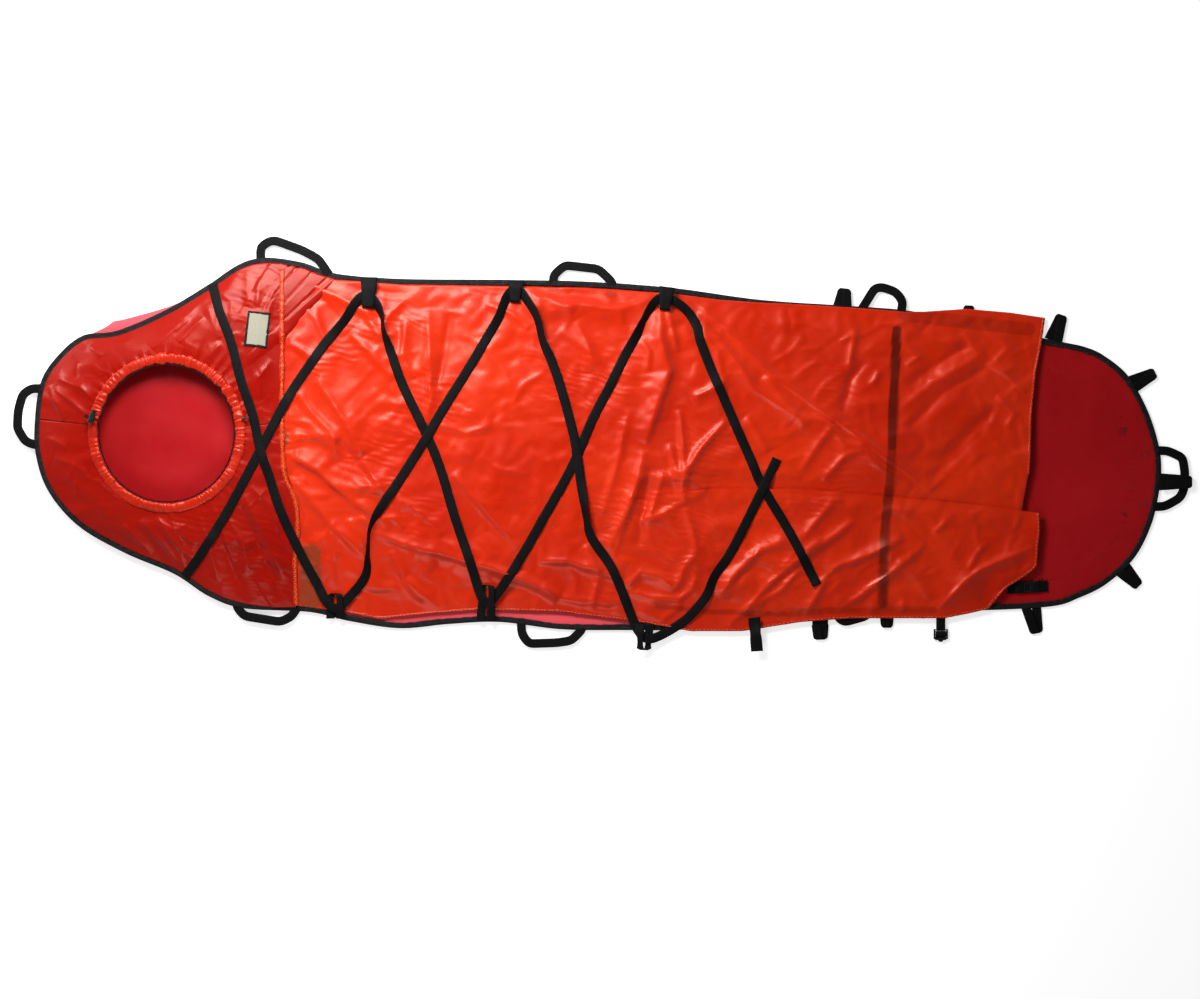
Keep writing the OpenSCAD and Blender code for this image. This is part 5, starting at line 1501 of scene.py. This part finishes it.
def build_free_loop(name, root, direction, reach, wide, tip):
    """Free loop: a band doubled back on itself that narrows to a rounded tip, sewn into the binding."""
    a = math.radians(direction)
    d = np.array([math.cos(a), math.sin(a)])
    n = np.array([-d[1], d[0]])
    lift = 4.7 if name == "foot_loop_end" else 0.0
    z = BASE_T + float(look(RISE, root[0])) + GAP + BIND_T - 1.5 - 0.8 + lift
    # sewn webbing spreads a little past the solid that stands for it
    wide, tip = wide + 2, tip + 4
    width = min(20.0, tip * 0.86)
    legs = []
    eye = 1.55
    straight = reach - 3.0
    inward_mm = -5.0
    for side in (1, -1):
        for t in np.linspace(0, 1, 14):
            r = mix(inward_mm, straight, t)
            k = t if side == 1 else t
            off = side * mix((wide - width) / 2, (tip - width) / 2, smooth(k) * 0.4 + 0.6 * k)
            legs.append((r, off, -side * eye, side))
    first = [v for v in legs if v[3] == 1]
    second = [v for v in legs if v[3] == -1][::-1]
    points = []
    for r, off, up, _ in first:
        p = np.array(root) + d * r + n * off
        points.append((p[0], p[1], z + up))
    for q in np.linspace(-75, 75, 7):
        qa = math.radians(q)
        p = np.array(root) + d * (straight + 3.0 * math.cos(qa) * 0.9) + n * mix((tip - width) / 2, -(tip - width) / 2, (q + 75) / 150)
        points.append((p[0], p[1], z + eye * math.sin(qa)))
    for r, off, up, _ in second:
        p = np.array(root) + d * r + n * off
        points.append((p[0], p[1], z + up))
    sides = np.tile(np.array([n[0], n[1], 0.0]), (len(points), 1))
    out = (np.array(points)[:, :2] - np.array(root)) @ d
    # the folded tip is rounded
    widths = width * (1 - 0.2 * smooth((out - straight + 3.5) / 6.0))
    piece = band(name + "_web", np.array(points), sides, widths, 1.3)
    wear(piece, "black_webbing")
    sewn_on(piece, name)
    return piece


def build_handle(name, outer, inner):
    """Carry handle: a band of webbing turned at its corners, its ends sewn into the binding."""
    line = (np.array(outer, float) + np.array(inner, float)) / 2
    middle = even_steps(line, 2.0)
    for _ in range(22):
        middle[1:-1] = (middle[:-2] + 2 * middle[1:-1] + middle[2:]) / 4
    depth = np.array([inside_rim(x, y) for x, y in middle])
    middle = middle[depth < 7]
    side = left_of(headings(middle))
    for _ in range(2):
        side[1:-1] = (side[:-2] + 2 * side[1:-1] + side[2:]) / 4
    side /= np.linalg.norm(side, axis=1)[:, None]
    width = bpy.context.scene.sled_sizes.web_width / MM - 0.8
    rim_x = float(middle[0, 0] + middle[-1, 0]) / 2
    z = BASE_T + float(look(RISE, rim_x)) + GAP + BIND_T - 0.75
    t = np.linspace(0, 1, len(middle))
    sway = 0.5 * np.sin(t * 9 + len(name))
    centres = np.stack([middle[:, 0], middle[:, 1], z + sway * smooth(np.minimum(t, 1 - t) * 6)], 1)
    sides = np.concatenate([side, np.zeros((len(side), 1))], 1)
    piece = band(name + "_web", centres, sides, width, 1.5)
    wear(piece, "black_webbing")
    sewn_on(piece, name)
    return piece


def build_hang_strap():
    """Short strap over the near hem, a little twisted near its middle and leaning to the foot."""
    root, direction = np.array((323.0, -372.0)), math.radians(-86)
    d = np.array([math.cos(direction), math.sin(direction)])
    n = np.array([-d[1], d[0]])
    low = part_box("hang_strap")[0][2] / MM
    t = np.linspace(0, 1, 40)
    r = t * 71
    width = 25.2 - 2.4 * np.exp(-((t - 0.45) / 0.14) ** 2)
    roll = np.radians(14) * np.exp(-((t - 0.45) / 0.2) ** 2)
    lean = -0.6 + 1.4 * t
    centres = np.stack([root[0] + d[0] * r + n[0] * lean, root[1] + d[1] * r + n[1] * lean, low + 0.75 + 3.2 * np.exp(-((t - 0.5) / 0.2) ** 2)], 1)
    sides = np.stack([n[0] * np.cos(roll), n[1] * np.cos(roll), np.sin(roll)], 1)
    piece = band("hang_strap_web", centres, sides, width, 1.4)
    wear(piece, "black_webbing")
    return piece


def build_lock_web():
    """Webbing threaded over the first bar of the ladder lock, down its slot and under the end."""
    x, y, z = (v / MM for v in JOINTS["ladder_lock"]["pos_m"])
    route = curve_through([(3.3, -0.8), (6.0, 1.4), (10.9, 3.0), (14.4, 0.6), (17.5, -2.2), (22.5, -2.5)], 6)
    line = even_steps(np.array([(r, up) for r, up in route], float), 0.8)
    centres = np.stack([np.full(len(line), x), y - line[:, 0], z + line[:, 1]], 1)
    sides = np.tile(np.array([1.0, 0.0, 0.0]), (len(line), 1))
    piece = band("ladder_lock_web", centres, sides, 22.2, 1.1)
    wear(piece, "black_webbing")
    return piece


def build_lock_tab():
    """Webbing from the rim round the pin of the ladder lock and back."""
    x, y, z = (v / MM for v in JOINTS["ladder_lock_tab"]["pos_m"])
    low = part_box("ladder_lock_tab")[0][2] / MM
    turn = [(19.1 + 2.15 * math.cos(a), 2.9 + 2.15 * math.sin(a)) for a in np.linspace(-1.4, 1.4, 9)]
    route = np.array([(r, 0.75) for r in np.linspace(-3, 18, 8)] + turn + [(r, 5.05) for r in np.linspace(18, -3, 8)])
    centres = np.stack([np.full(len(route), x), y - 0.05 - route[:, 0], low + route[:, 1]], 1)
    sides = np.tile(np.array([1.0, 0.0, 0.0]), (len(route), 1))
    piece = band("ladder_lock_tab_web", centres, sides, 18.8, 1.4)
    wear(piece, "black_webbing")
    sewn_on(piece, "ladder_lock_tab")


def build_anchors():
    """Webbing from the rim to the near pieces, under the hem."""
    parts = []
    for x, y, width in ((462, -393, 33.4), (602, -378, 26.4), (715, -377, 19.6)):
        run = [v for v in np.arange(y - 0.6, y + 45, 1.5) if inside_rim(x, v) < -1.0]
        z = BASE_T + float(look(RISE, x)) + GAP + BIND_T - 2.25
        centres = np.array([(x, v, z) for v in run])
        parts.append(band("anchor", centres, np.tile((1.0, 0.0, 0.0), (len(run), 1)), width, 1.4))
    piece = join("near_anchor_webs", parts)
    wear(piece, "black_webbing")
    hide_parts("near_anchors")
    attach(piece, "sled")


def build_cross_strap():
    """Strap across the inside of the base."""
    line = even_steps(curve_through([(622, 229), (615, 92), (611, -13), (605, -105), (598, -168), (594, -244), (592, -328)], 8), 6.0)
    side = left_of(headings(line))
    z = BASE_T + GAP + 0.75 + look([(-340, 2.2), (-300, 0), (160, 0), (240, 2.2)], line[:, 1])
    piece = band("cross_strap_web", np.column_stack([line, z]), np.column_stack([side, np.zeros(len(line))]), 19.6, 1.4)
    wear(piece, "black_webbing")
    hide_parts("cross_strap")
    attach(piece, "sled")


def build_keeper():
    """Tab stitched on the base: a flat strap with a second one that leaves two tunnels."""
    c, a = np.array((897.0, -309.0)), math.radians(3)
    e1, e2 = np.array((math.cos(a), math.sin(a))), np.array((-math.sin(a), math.cos(a)))
    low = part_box("keeper_tab")[0][2] / MM
    parts = []
    for route in ([(r, 0.75) for r in np.linspace(-42.6, 42.6, 20)],
                  curve_through([(-25.4, 1.8), (-23, 2.7), (-17, 3.3), (-11, 2.9), (-7, 2.15), (7, 2.15),
                                 (11, 2.9), (17, 3.3), (23, 2.7), (25.4, 1.8)], 4)):
        centres = np.array([(*(c + e1 * r), low + up) for r, up in route])
        parts.append(band("keeper", centres, np.tile((*e2, 0.0), (len(centres), 1)), 23.6, 1.3))
    piece = join("keeper_tab_webs", parts)
    wear(piece, "black_webbing")
    spots = [(u, v) for u in (-6, 6) for v in np.arange(-9, 9.5, 3)] + [(u, v) for v in (-9, 9) for u in np.arange(-3, 3.5, 3)]
    points = np.array([(*(c + e1 * u + e2 * v), low + 2.95) for u, v in spots])
    ways = np.array([(*(e2 if abs(u) == 6 else e1), 0.0) for u, v in spots])
    seam = stitches("keeper_tab_stitches", points, ways, np.tile((0, 0, 1.0), (len(spots), 1)), 2.4, 0.8, 0.4, "thread")
    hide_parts("keeper_tab")
    for made in (piece, seam):
        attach(made, body_of_node("keeper_tab"))


def build_patches():
    """Fastening patches under the cover, seen through it."""
    for name, xs, ys in (("seam_patch", (-729, -672), (-19, 21)), ("side_patch", (-628, -582), (-336, -233))):
        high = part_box(name)[1][2] / MM
        x, y = np.linspace(*xs, 12), np.linspace(*ys, 16)
        under = np.array([[min(top_at(u + du, v + dv) for du in (-7, 0, 7) for dv in (-7, 0, 7)) for v in y] for u in x])
        rows = np.array([[(u, v, min(high, under[i, j] - 5.0)) for j, v in enumerate(y)] for i, u in enumerate(x)])
        piece = sheet_from_rows(name + "_pile", rows)
        finish_with(piece, "SOLIDIFY", thickness=1.1 * MM, offset=0.0)
        wear(piece, "patch_cloth")
        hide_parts(name)
        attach(piece, "sled")


def build_box_stitches():
    """Sewn squares on the base where the foot handle is held underneath."""
    points, ways = [], []
    for x, y in ((1143, -32), (1140, -134)):
        for k in np.arange(-6.5, 7, 2.6):
            for u, v, way in ((k, -7.2, (1, 0, 0)), (k, 7.2, (1, 0, 0)), (-7.2, k, (0, 1, 0)), (7.2, k, (0, 1, 0))):
                points.append((x + u, y + v, BASE_T + 0.3))
                ways.append(way)
    seam = stitches("box_stitch_threads", np.array(points, float), np.array(ways, float),
                    np.tile((0, 0, 1.0), (len(points), 1)), 2.2, 1.0, 0.5, "thread")
    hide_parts("box_stitches")
    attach(seam, body_of_node("box_stitches"))


def build_drawcord():
    """Braided cord round the inside of the casing, both ends up through the cord lock."""
    a = math.radians(-20)
    lock, d = np.array((-1058.0, 44.0)), np.array((math.cos(a), math.sin(a)))
    n, z = np.array((-d[1], d[0])), FACE_H + 15
    def end(s):
        return [(*(lock + n * s * 1.9 * k + d * r), z - dz) for r, k, dz in ((-15, 1, 0), (-8, 1, 0), (0, 1, 0), (8, 1, 0), (15, 1.4, 0.6))]
    ring = [(FACE_C[0] + (FACE_R[0] - 2.2) * math.cos(q), FACE_C[1] + (FACE_R[1] - 2.2) * math.sin(q), FACE_H + 1)
            for q in np.radians(np.arange(158, -171, -8))]
    path = even_steps(curve_through(end(1) + ring + end(-1)[::-1], 8), 2.2)
    along = np.gradient(path, axis=0)
    along /= np.linalg.norm(along, axis=1)[:, None]
    side = np.cross((0, 0, 1.0), along)
    side /= np.linalg.norm(side, axis=1)[:, None]
    up = np.cross(along, side)
    rows = [[path[i] + (side[i] * math.cos(q) + up[i] * math.sin(q)) * (1.45 + 0.08 * math.sin(3 * q + i * 0.9))
             for q in np.linspace(0, 2 * math.pi, 11)] for i in range(len(path))]
    piece = sheet_from_rows("drawcord_braid", np.array(rows), closed=True)
    wear(piece, "cord")
    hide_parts("drawcord")
    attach(piece, "sled")


def build_label():
    """Bare woven label that follows the hood, with a sewn border."""
    c, a = np.array((-715.0, 230.0)), math.radians(-6)
    e1, e2 = np.array((math.cos(a), math.sin(a))), np.array((-math.sin(a), math.cos(a)))
    xs, ys = np.linspace(-23, 23, 20), np.linspace(-36, 36, 30)
    top = np.array([[top_at(*(c + e1 * u + e2 * v)) for v in ys] for u in xs])
    for _ in range(6):
        top[1:-1, 1:-1] = (top[1:-1, 1:-1] * 2 + top[:-2, 1:-1] + top[2:, 1:-1] + top[1:-1, :-2] + top[1:-1, 2:]) / 6
    rows = np.array([[(*(c + e1 * u + e2 * v), top[i, j] + 1.3) for j, v in enumerate(ys)] for i, u in enumerate(xs)])
    face = sheet_from_rows("label_face", rows)
    finish_with(face, "SOLIDIFY", thickness=0.7 * MM, offset=0.0)
    wear(face, "label_cloth")
    corners = [(-22, -35), (22, -35), (22, 35), (-22, 35), (-22, -35)]
    points = []
    for (u0, v0), (u1, v1) in zip(corners[:-1], corners[1:]):
        for k in np.linspace(0, 1, 24, endpoint=False):
            u, v = mix(u0, u1, k), mix(v0, v1, k)
            iu, iv = (u + 23) / 46 * 19, (v + 36) / 72 * 29
            points.append((*(c + e1 * u + e2 * v), top[int(round(iu)), int(round(iv))] + 1.9))
    points = np.array(points + points[:1])
    plan = points[:, :2]
    inward = (c - plan)
    rows = []
    for p in points:
        u = (p[:2] - c) @ e1
        v = (p[:2] - c) @ e2
        scale = [(24.0 / 22, 37.0 / 35, -0.4), (22.9 / 22, 36 / 35, 0.35), (19.8 / 22, 32.9 / 35, 0.35), (18.8 / 22, 31.9 / 35, -0.3)]
        rows.append([(*(c + e1 * u * a1 + e2 * v * a2), p[2] + up) for a1, a2, up in scale])
    rim = sheet_from_rows("label_binding", rows, closed=True)
    finish_with(rim, "SOLIDIFY", thickness=0.6 * MM, offset=-1.0)
    wear(rim, "binding_tape")
    return face, rim


# Stage: floor, light and camera

def build_stage():
    clear_selection()
    bpy.ops.mesh.primitive_plane_add(size=14)
    floor = bpy.context.object
    floor.name = "floor"
    material = bpy.data.materials.new("pale_floor")
    material.use_nodes = True
    tree = material.node_tree
    tree.nodes.clear()
    output = tree.nodes.new("ShaderNodeOutputMaterial")
    rays = node(tree, "ShaderNodeLightPath")
    seen = math_node(tree, "MAXIMUM", rays.outputs["Is Camera Ray"],
                     math_node(tree, "MAXIMUM", rays.outputs["Is Glossy Ray"], rays.outputs["Is Transmission Ray"]))
    paper = node(tree, "ShaderNodeBsdfDiffuse", {"Color": (0.82, 0.82, 0.82, 1)})
    glow = node(tree, "ShaderNodeEmission", {"Color": (1, 1, 1, 1)}, Strength=math_node(tree, "MULTIPLY", seen, 0.62))
    both = node(tree, "ShaderNodeAddShader", i0=paper.outputs[0], i1=glow.outputs[0])
    tree.links.new(both.outputs[0], output.inputs["Surface"])
    floor.data.materials.append(material)
    world = bpy.data.worlds.new("studio")
    bpy.context.scene.world = world
    world.use_nodes = True
    tree = world.node_tree
    tree.nodes.clear()
    output = tree.nodes.new("ShaderNodeOutputWorld")
    rays = node(tree, "ShaderNodeLightPath")
    # the room is lit round the walls and dark overhead
    heading = node(tree, "ShaderNodeTexCoord").outputs["Generated"]
    height = node(tree, "ShaderNodeSeparateXYZ", Vector=heading).outputs["Z"]
    walls = node(tree, "ShaderNodeMapRange", {1: 0.3, 2: 0.95, 3: ROOM_LIGHT, 4: 0.02}, i0=height).outputs[0]
    room = node(tree, "ShaderNodeBackground", {"Color": (1, 1, 1, 1)}, Strength=walls)
    white = node(tree, "ShaderNodeBackground", {"Color": (1, 1, 1, 1), "Strength": 1.0})
    both = node(tree, "ShaderNodeMixShader", i0=rays.outputs["Is Camera Ray"], i1=room.outputs[0], i2=white.outputs[0])
    tree.links.new(both.outputs[0], output.inputs["Surface"])
    for name, place, aim, size, power in LAMPS:
        lamp = bpy.data.lights.new(name, "AREA")
        lamp.shape = "RECTANGLE"
        lamp.size, lamp.size_y = size
        lamp.energy = power
        holder = bpy.data.objects.new(name, lamp)
        bpy.context.collection.objects.link(holder)
        holder.location = place
        holder.rotation_euler = (Vector(aim) - Vector(place)).to_track_quat("-Z", "Y").to_euler()
    camera = bpy.data.cameras.new("camera")
    eye = bpy.data.objects.new("camera", camera)
    bpy.context.collection.objects.link(eye)
    camera.sensor_width = 36
    camera.lens = 36 * CAMERA_HEIGHT / 2.52
    camera.dof.use_dof = False
    eye.location = (0, -0.125, CAMERA_HEIGHT)
    eye.rotation_euler = (0, 0, 0)
    bpy.context.scene.camera = eye
    bpy.context.scene.view_settings.view_transform = "Standard"


CAMERA_HEIGHT = 6.0
ROOM_LIGHT = 0.42
LAMPS = [
    ("key_softbox", (-0.68, 1.08, 1.25), (-0.3, 0.0, 0.0), (0.9, 0.6), 38.0),
    ("low_softbox", (-2.1, 0.9, 0.7), (-0.5, 0.0, 0.0), (0.5, 0.35), 8.0),
    ("near_softbox", (-0.6, -1.5, 1.5), (-0.2, -0.2, 0.0), (1.2, 0.8), 8.0),
]


# Sizes and colours a user would change

class SledSizes(PropertyGroup):
    """Sizes of the soft parts."""

    web_width: FloatProperty(name="Webbing width", description="Width of the lacing webbing", default=0.0196, unit="LENGTH")
    cloth_step: FloatProperty(name="Cloth mesh", description="Spacing of the cover's mesh", default=0.0044, unit="LENGTH")


def cloth_colour(label, description, value):
    return FloatVectorProperty(name=label, description=description, subtype="COLOR", size=4, min=0, max=1, default=linear(value))


class SledColours(PropertyGroup):
    """Colours of the cloth."""

    cover: cloth_colour("Cover", "Colour of the thin cover cloth", "#E2300B")
    # painted shade: the hood is the same nylon as the cover, set darker for the lesser light on it
    hood: cloth_colour("Hood", "Colour of the hood cloth", "#A81509")
    hem: cloth_colour("Hem", "Colour of the gathered hem between hood and cover", "#CC3410")
    base: cloth_colour("Base", "Colour of the coated base", "#B4141A")


class SledStep(Operator):
    """Common ground of the building steps."""

    bl_options = {"REGISTER", "UNDO"}

    def execute(self, context):
        self.build(context)
        return {"FINISHED"}


class SLED_OT_stage(SledStep):
    """Floor, lamps, world and the camera above the sled"""

    bl_idname = "sled.stage"
    bl_label = "Stage"

    def build(self, context):
        make_finishes()
        build_stage()


class SLED_OT_base(SledStep):
    """The coated base sheet, edge to edge"""

    bl_idname = "sled.base"
    bl_label = "Base sheet"

    def build(self, context):
        piece = build_base()
        wear(piece, "coated_base")
        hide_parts("base_sheet", "foot_flap")
        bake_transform(piece)
        remember(piece)


class SLED_OT_binding(SledStep):
    """Black tape folded over the edge, with its row of stitches"""

    bl_idname = "sled.binding"
    bl_label = "Edge binding"

    def build(self, context):
        piece, seam = build_binding()
        wear(piece, "binding_tape")
        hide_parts("binding_main", "binding_foot")
        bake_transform(piece)
        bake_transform(seam)
        remember(piece)


class SLED_OT_hood(SledStep):
    """The two halves of the hood round the face opening"""

    bl_idname = "sled.hood"
    bl_label = "Hood"

    def build(self, context):
        far, near = build_hood()
        for piece, name in ((far, "hood_far_panel"), (near, "hood_near_panel")):
            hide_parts(name)
            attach(piece, "sled")
            remember(piece)


class SLED_OT_cover(SledStep):
    """The two thin cover flaps with all their folds"""

    bl_idname = "sled.cover"
    bl_label = "Cover flaps"

    def build(self, context):
        far, near = build_flaps()
        for piece, name in ((far, "far_flap"), (near, "near_flap")):
            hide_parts(name)
            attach(piece, "sled")
            remember(piece)


class SLED_OT_hem(SledStep):
    """The gathered band between hood and flaps"""

    bl_idname = "sled.hem"
    bl_label = "Hem band"

    def build(self, context):
        for edge in build_flap_hems():
            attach(edge, "sled")
        piece, seam = build_hem()
        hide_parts("hood_hem")
        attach(piece, "sled")
        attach(seam, "sled")
        remember(piece)


class SLED_OT_casing(SledStep):
    """The ruffled tube round the face opening"""

    bl_idname = "sled.casing"
    bl_label = "Face casing"

    def build(self, context):
        piece = build_casing()
        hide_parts("face_casing")
        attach(piece, "sled")
        remember(piece)


class SLED_OT_lacing(SledStep):
    """The two lacing straps and the six loops they run through"""

    bl_idname = "sled.lacing"
    bl_label = "Lacing"

    def build(self, context):
        loops, eyes = build_lace_loops()
        strap_b = lay_strap("lacing_strap_b_web", STRAP_B, eyes, 0)
        remember(strap_b)
        strap_a = lay_strap("lacing_strap_a_web", STRAP_A, eyes, 1)
        for piece, name in ((strap_a, "lacing_strap_a"), (strap_b, "lacing_strap_b")):
            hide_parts(name)
            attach(piece, "sled")


class SLED_OT_loops(SledStep):
    """The free webbing loops round the edge"""

    bl_idname = "sled.loops"
    bl_label = "Free loops"

    def build(self, context):
        for name, (root, direction, reach, wide, tip) in FREE_LOOPS.items():
            build_free_loop(name, root, direction, reach, wide, tip)


class SLED_OT_handles(SledStep):
    """The carry handles"""

    bl_idname = "sled.handles"
    bl_label = "Carry handles"

    def build(self, context):
        for name, (outer, inner) in HANDLES.items():
            build_handle(name, outer, inner)


class SLED_OT_hang_strap(SledStep):
    """The short strap that hangs over the near hem"""

    bl_idname = "sled.hang_strap"
    bl_label = "Hanging strap"

    def build(self, context):
        piece = build_hang_strap()
        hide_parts("hang_strap")
        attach(piece, "hang_strap")


class SLED_OT_label(SledStep):
    """The bare label and its sewn border"""

    bl_idname = "sled.label"
    bl_label = "Label"

    def build(self, context):
        face, rim = build_label()
        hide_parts("label_patch")
        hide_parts("label_border")
        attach(face, "sled")
        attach(rim, "sled")


class SLED_OT_fittings(SledStep):
    """Drawcord, small webbing, patches and the finish of the moulded fittings"""

    bl_idname = "sled.fittings"
    bl_label = "Fittings"

    def build(self, context):
        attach(build_lock_web(), "ladder_lock")
        for make in (build_lock_tab, build_anchors, build_cross_strap, build_keeper, build_patches, build_box_stitches,
                     build_drawcord):
            make()
        for name, finish in (("cord_lock_barrel", "black_plastic"), ("cord_lock_plunger", "black_plastic"),
                             ("cord_end_stop", "black_plastic"), ("ladder_lock", "black_plastic")):
            dress_node(name, finish)


STEPS = [SLED_OT_stage, SLED_OT_base, SLED_OT_binding, SLED_OT_hood, SLED_OT_cover, SLED_OT_hem, SLED_OT_casing,
         SLED_OT_lacing, SLED_OT_loops, SLED_OT_handles, SLED_OT_hang_strap, SLED_OT_label, SLED_OT_fittings]


class SLED_PT_panel(Panel):
    """Lists the building steps"""

    bl_idname = "SLED_PT_panel"
    bl_label = "Rescue sled"
    bl_space_type = "VIEW_3D"
    bl_region_type = "UI"
    bl_category = "Sled"

    def draw(self, context):
        layout = self.layout
        for group in (context.scene.sled_sizes, context.scene.sled_colours):
            box = layout.box()
            for key in group.__annotations__:
                box.prop(group, key)
        for step in STEPS:
            layout.operator(step.bl_idname)


CLASSES = [SledSizes, SledColours, *STEPS, SLED_PT_panel]


def register():
    for cls in CLASSES:
        bpy.utils.register_class(cls)
    bpy.types.Scene.sled_sizes = PointerProperty(type=SledSizes)
    bpy.types.Scene.sled_colours = PointerProperty(type=SledColours)


def unregister():
    del bpy.types.Scene.sled_colours
    del bpy.types.Scene.sled_sizes
    for cls in reversed(CLASSES):
        bpy.utils.unregister_class(cls)


def main():
    register()
    for step in STEPS:
        group, name = step.bl_idname.split(".")
        getattr(getattr(bpy.ops, group), name)()


if __name__ == "__main__":
    main()
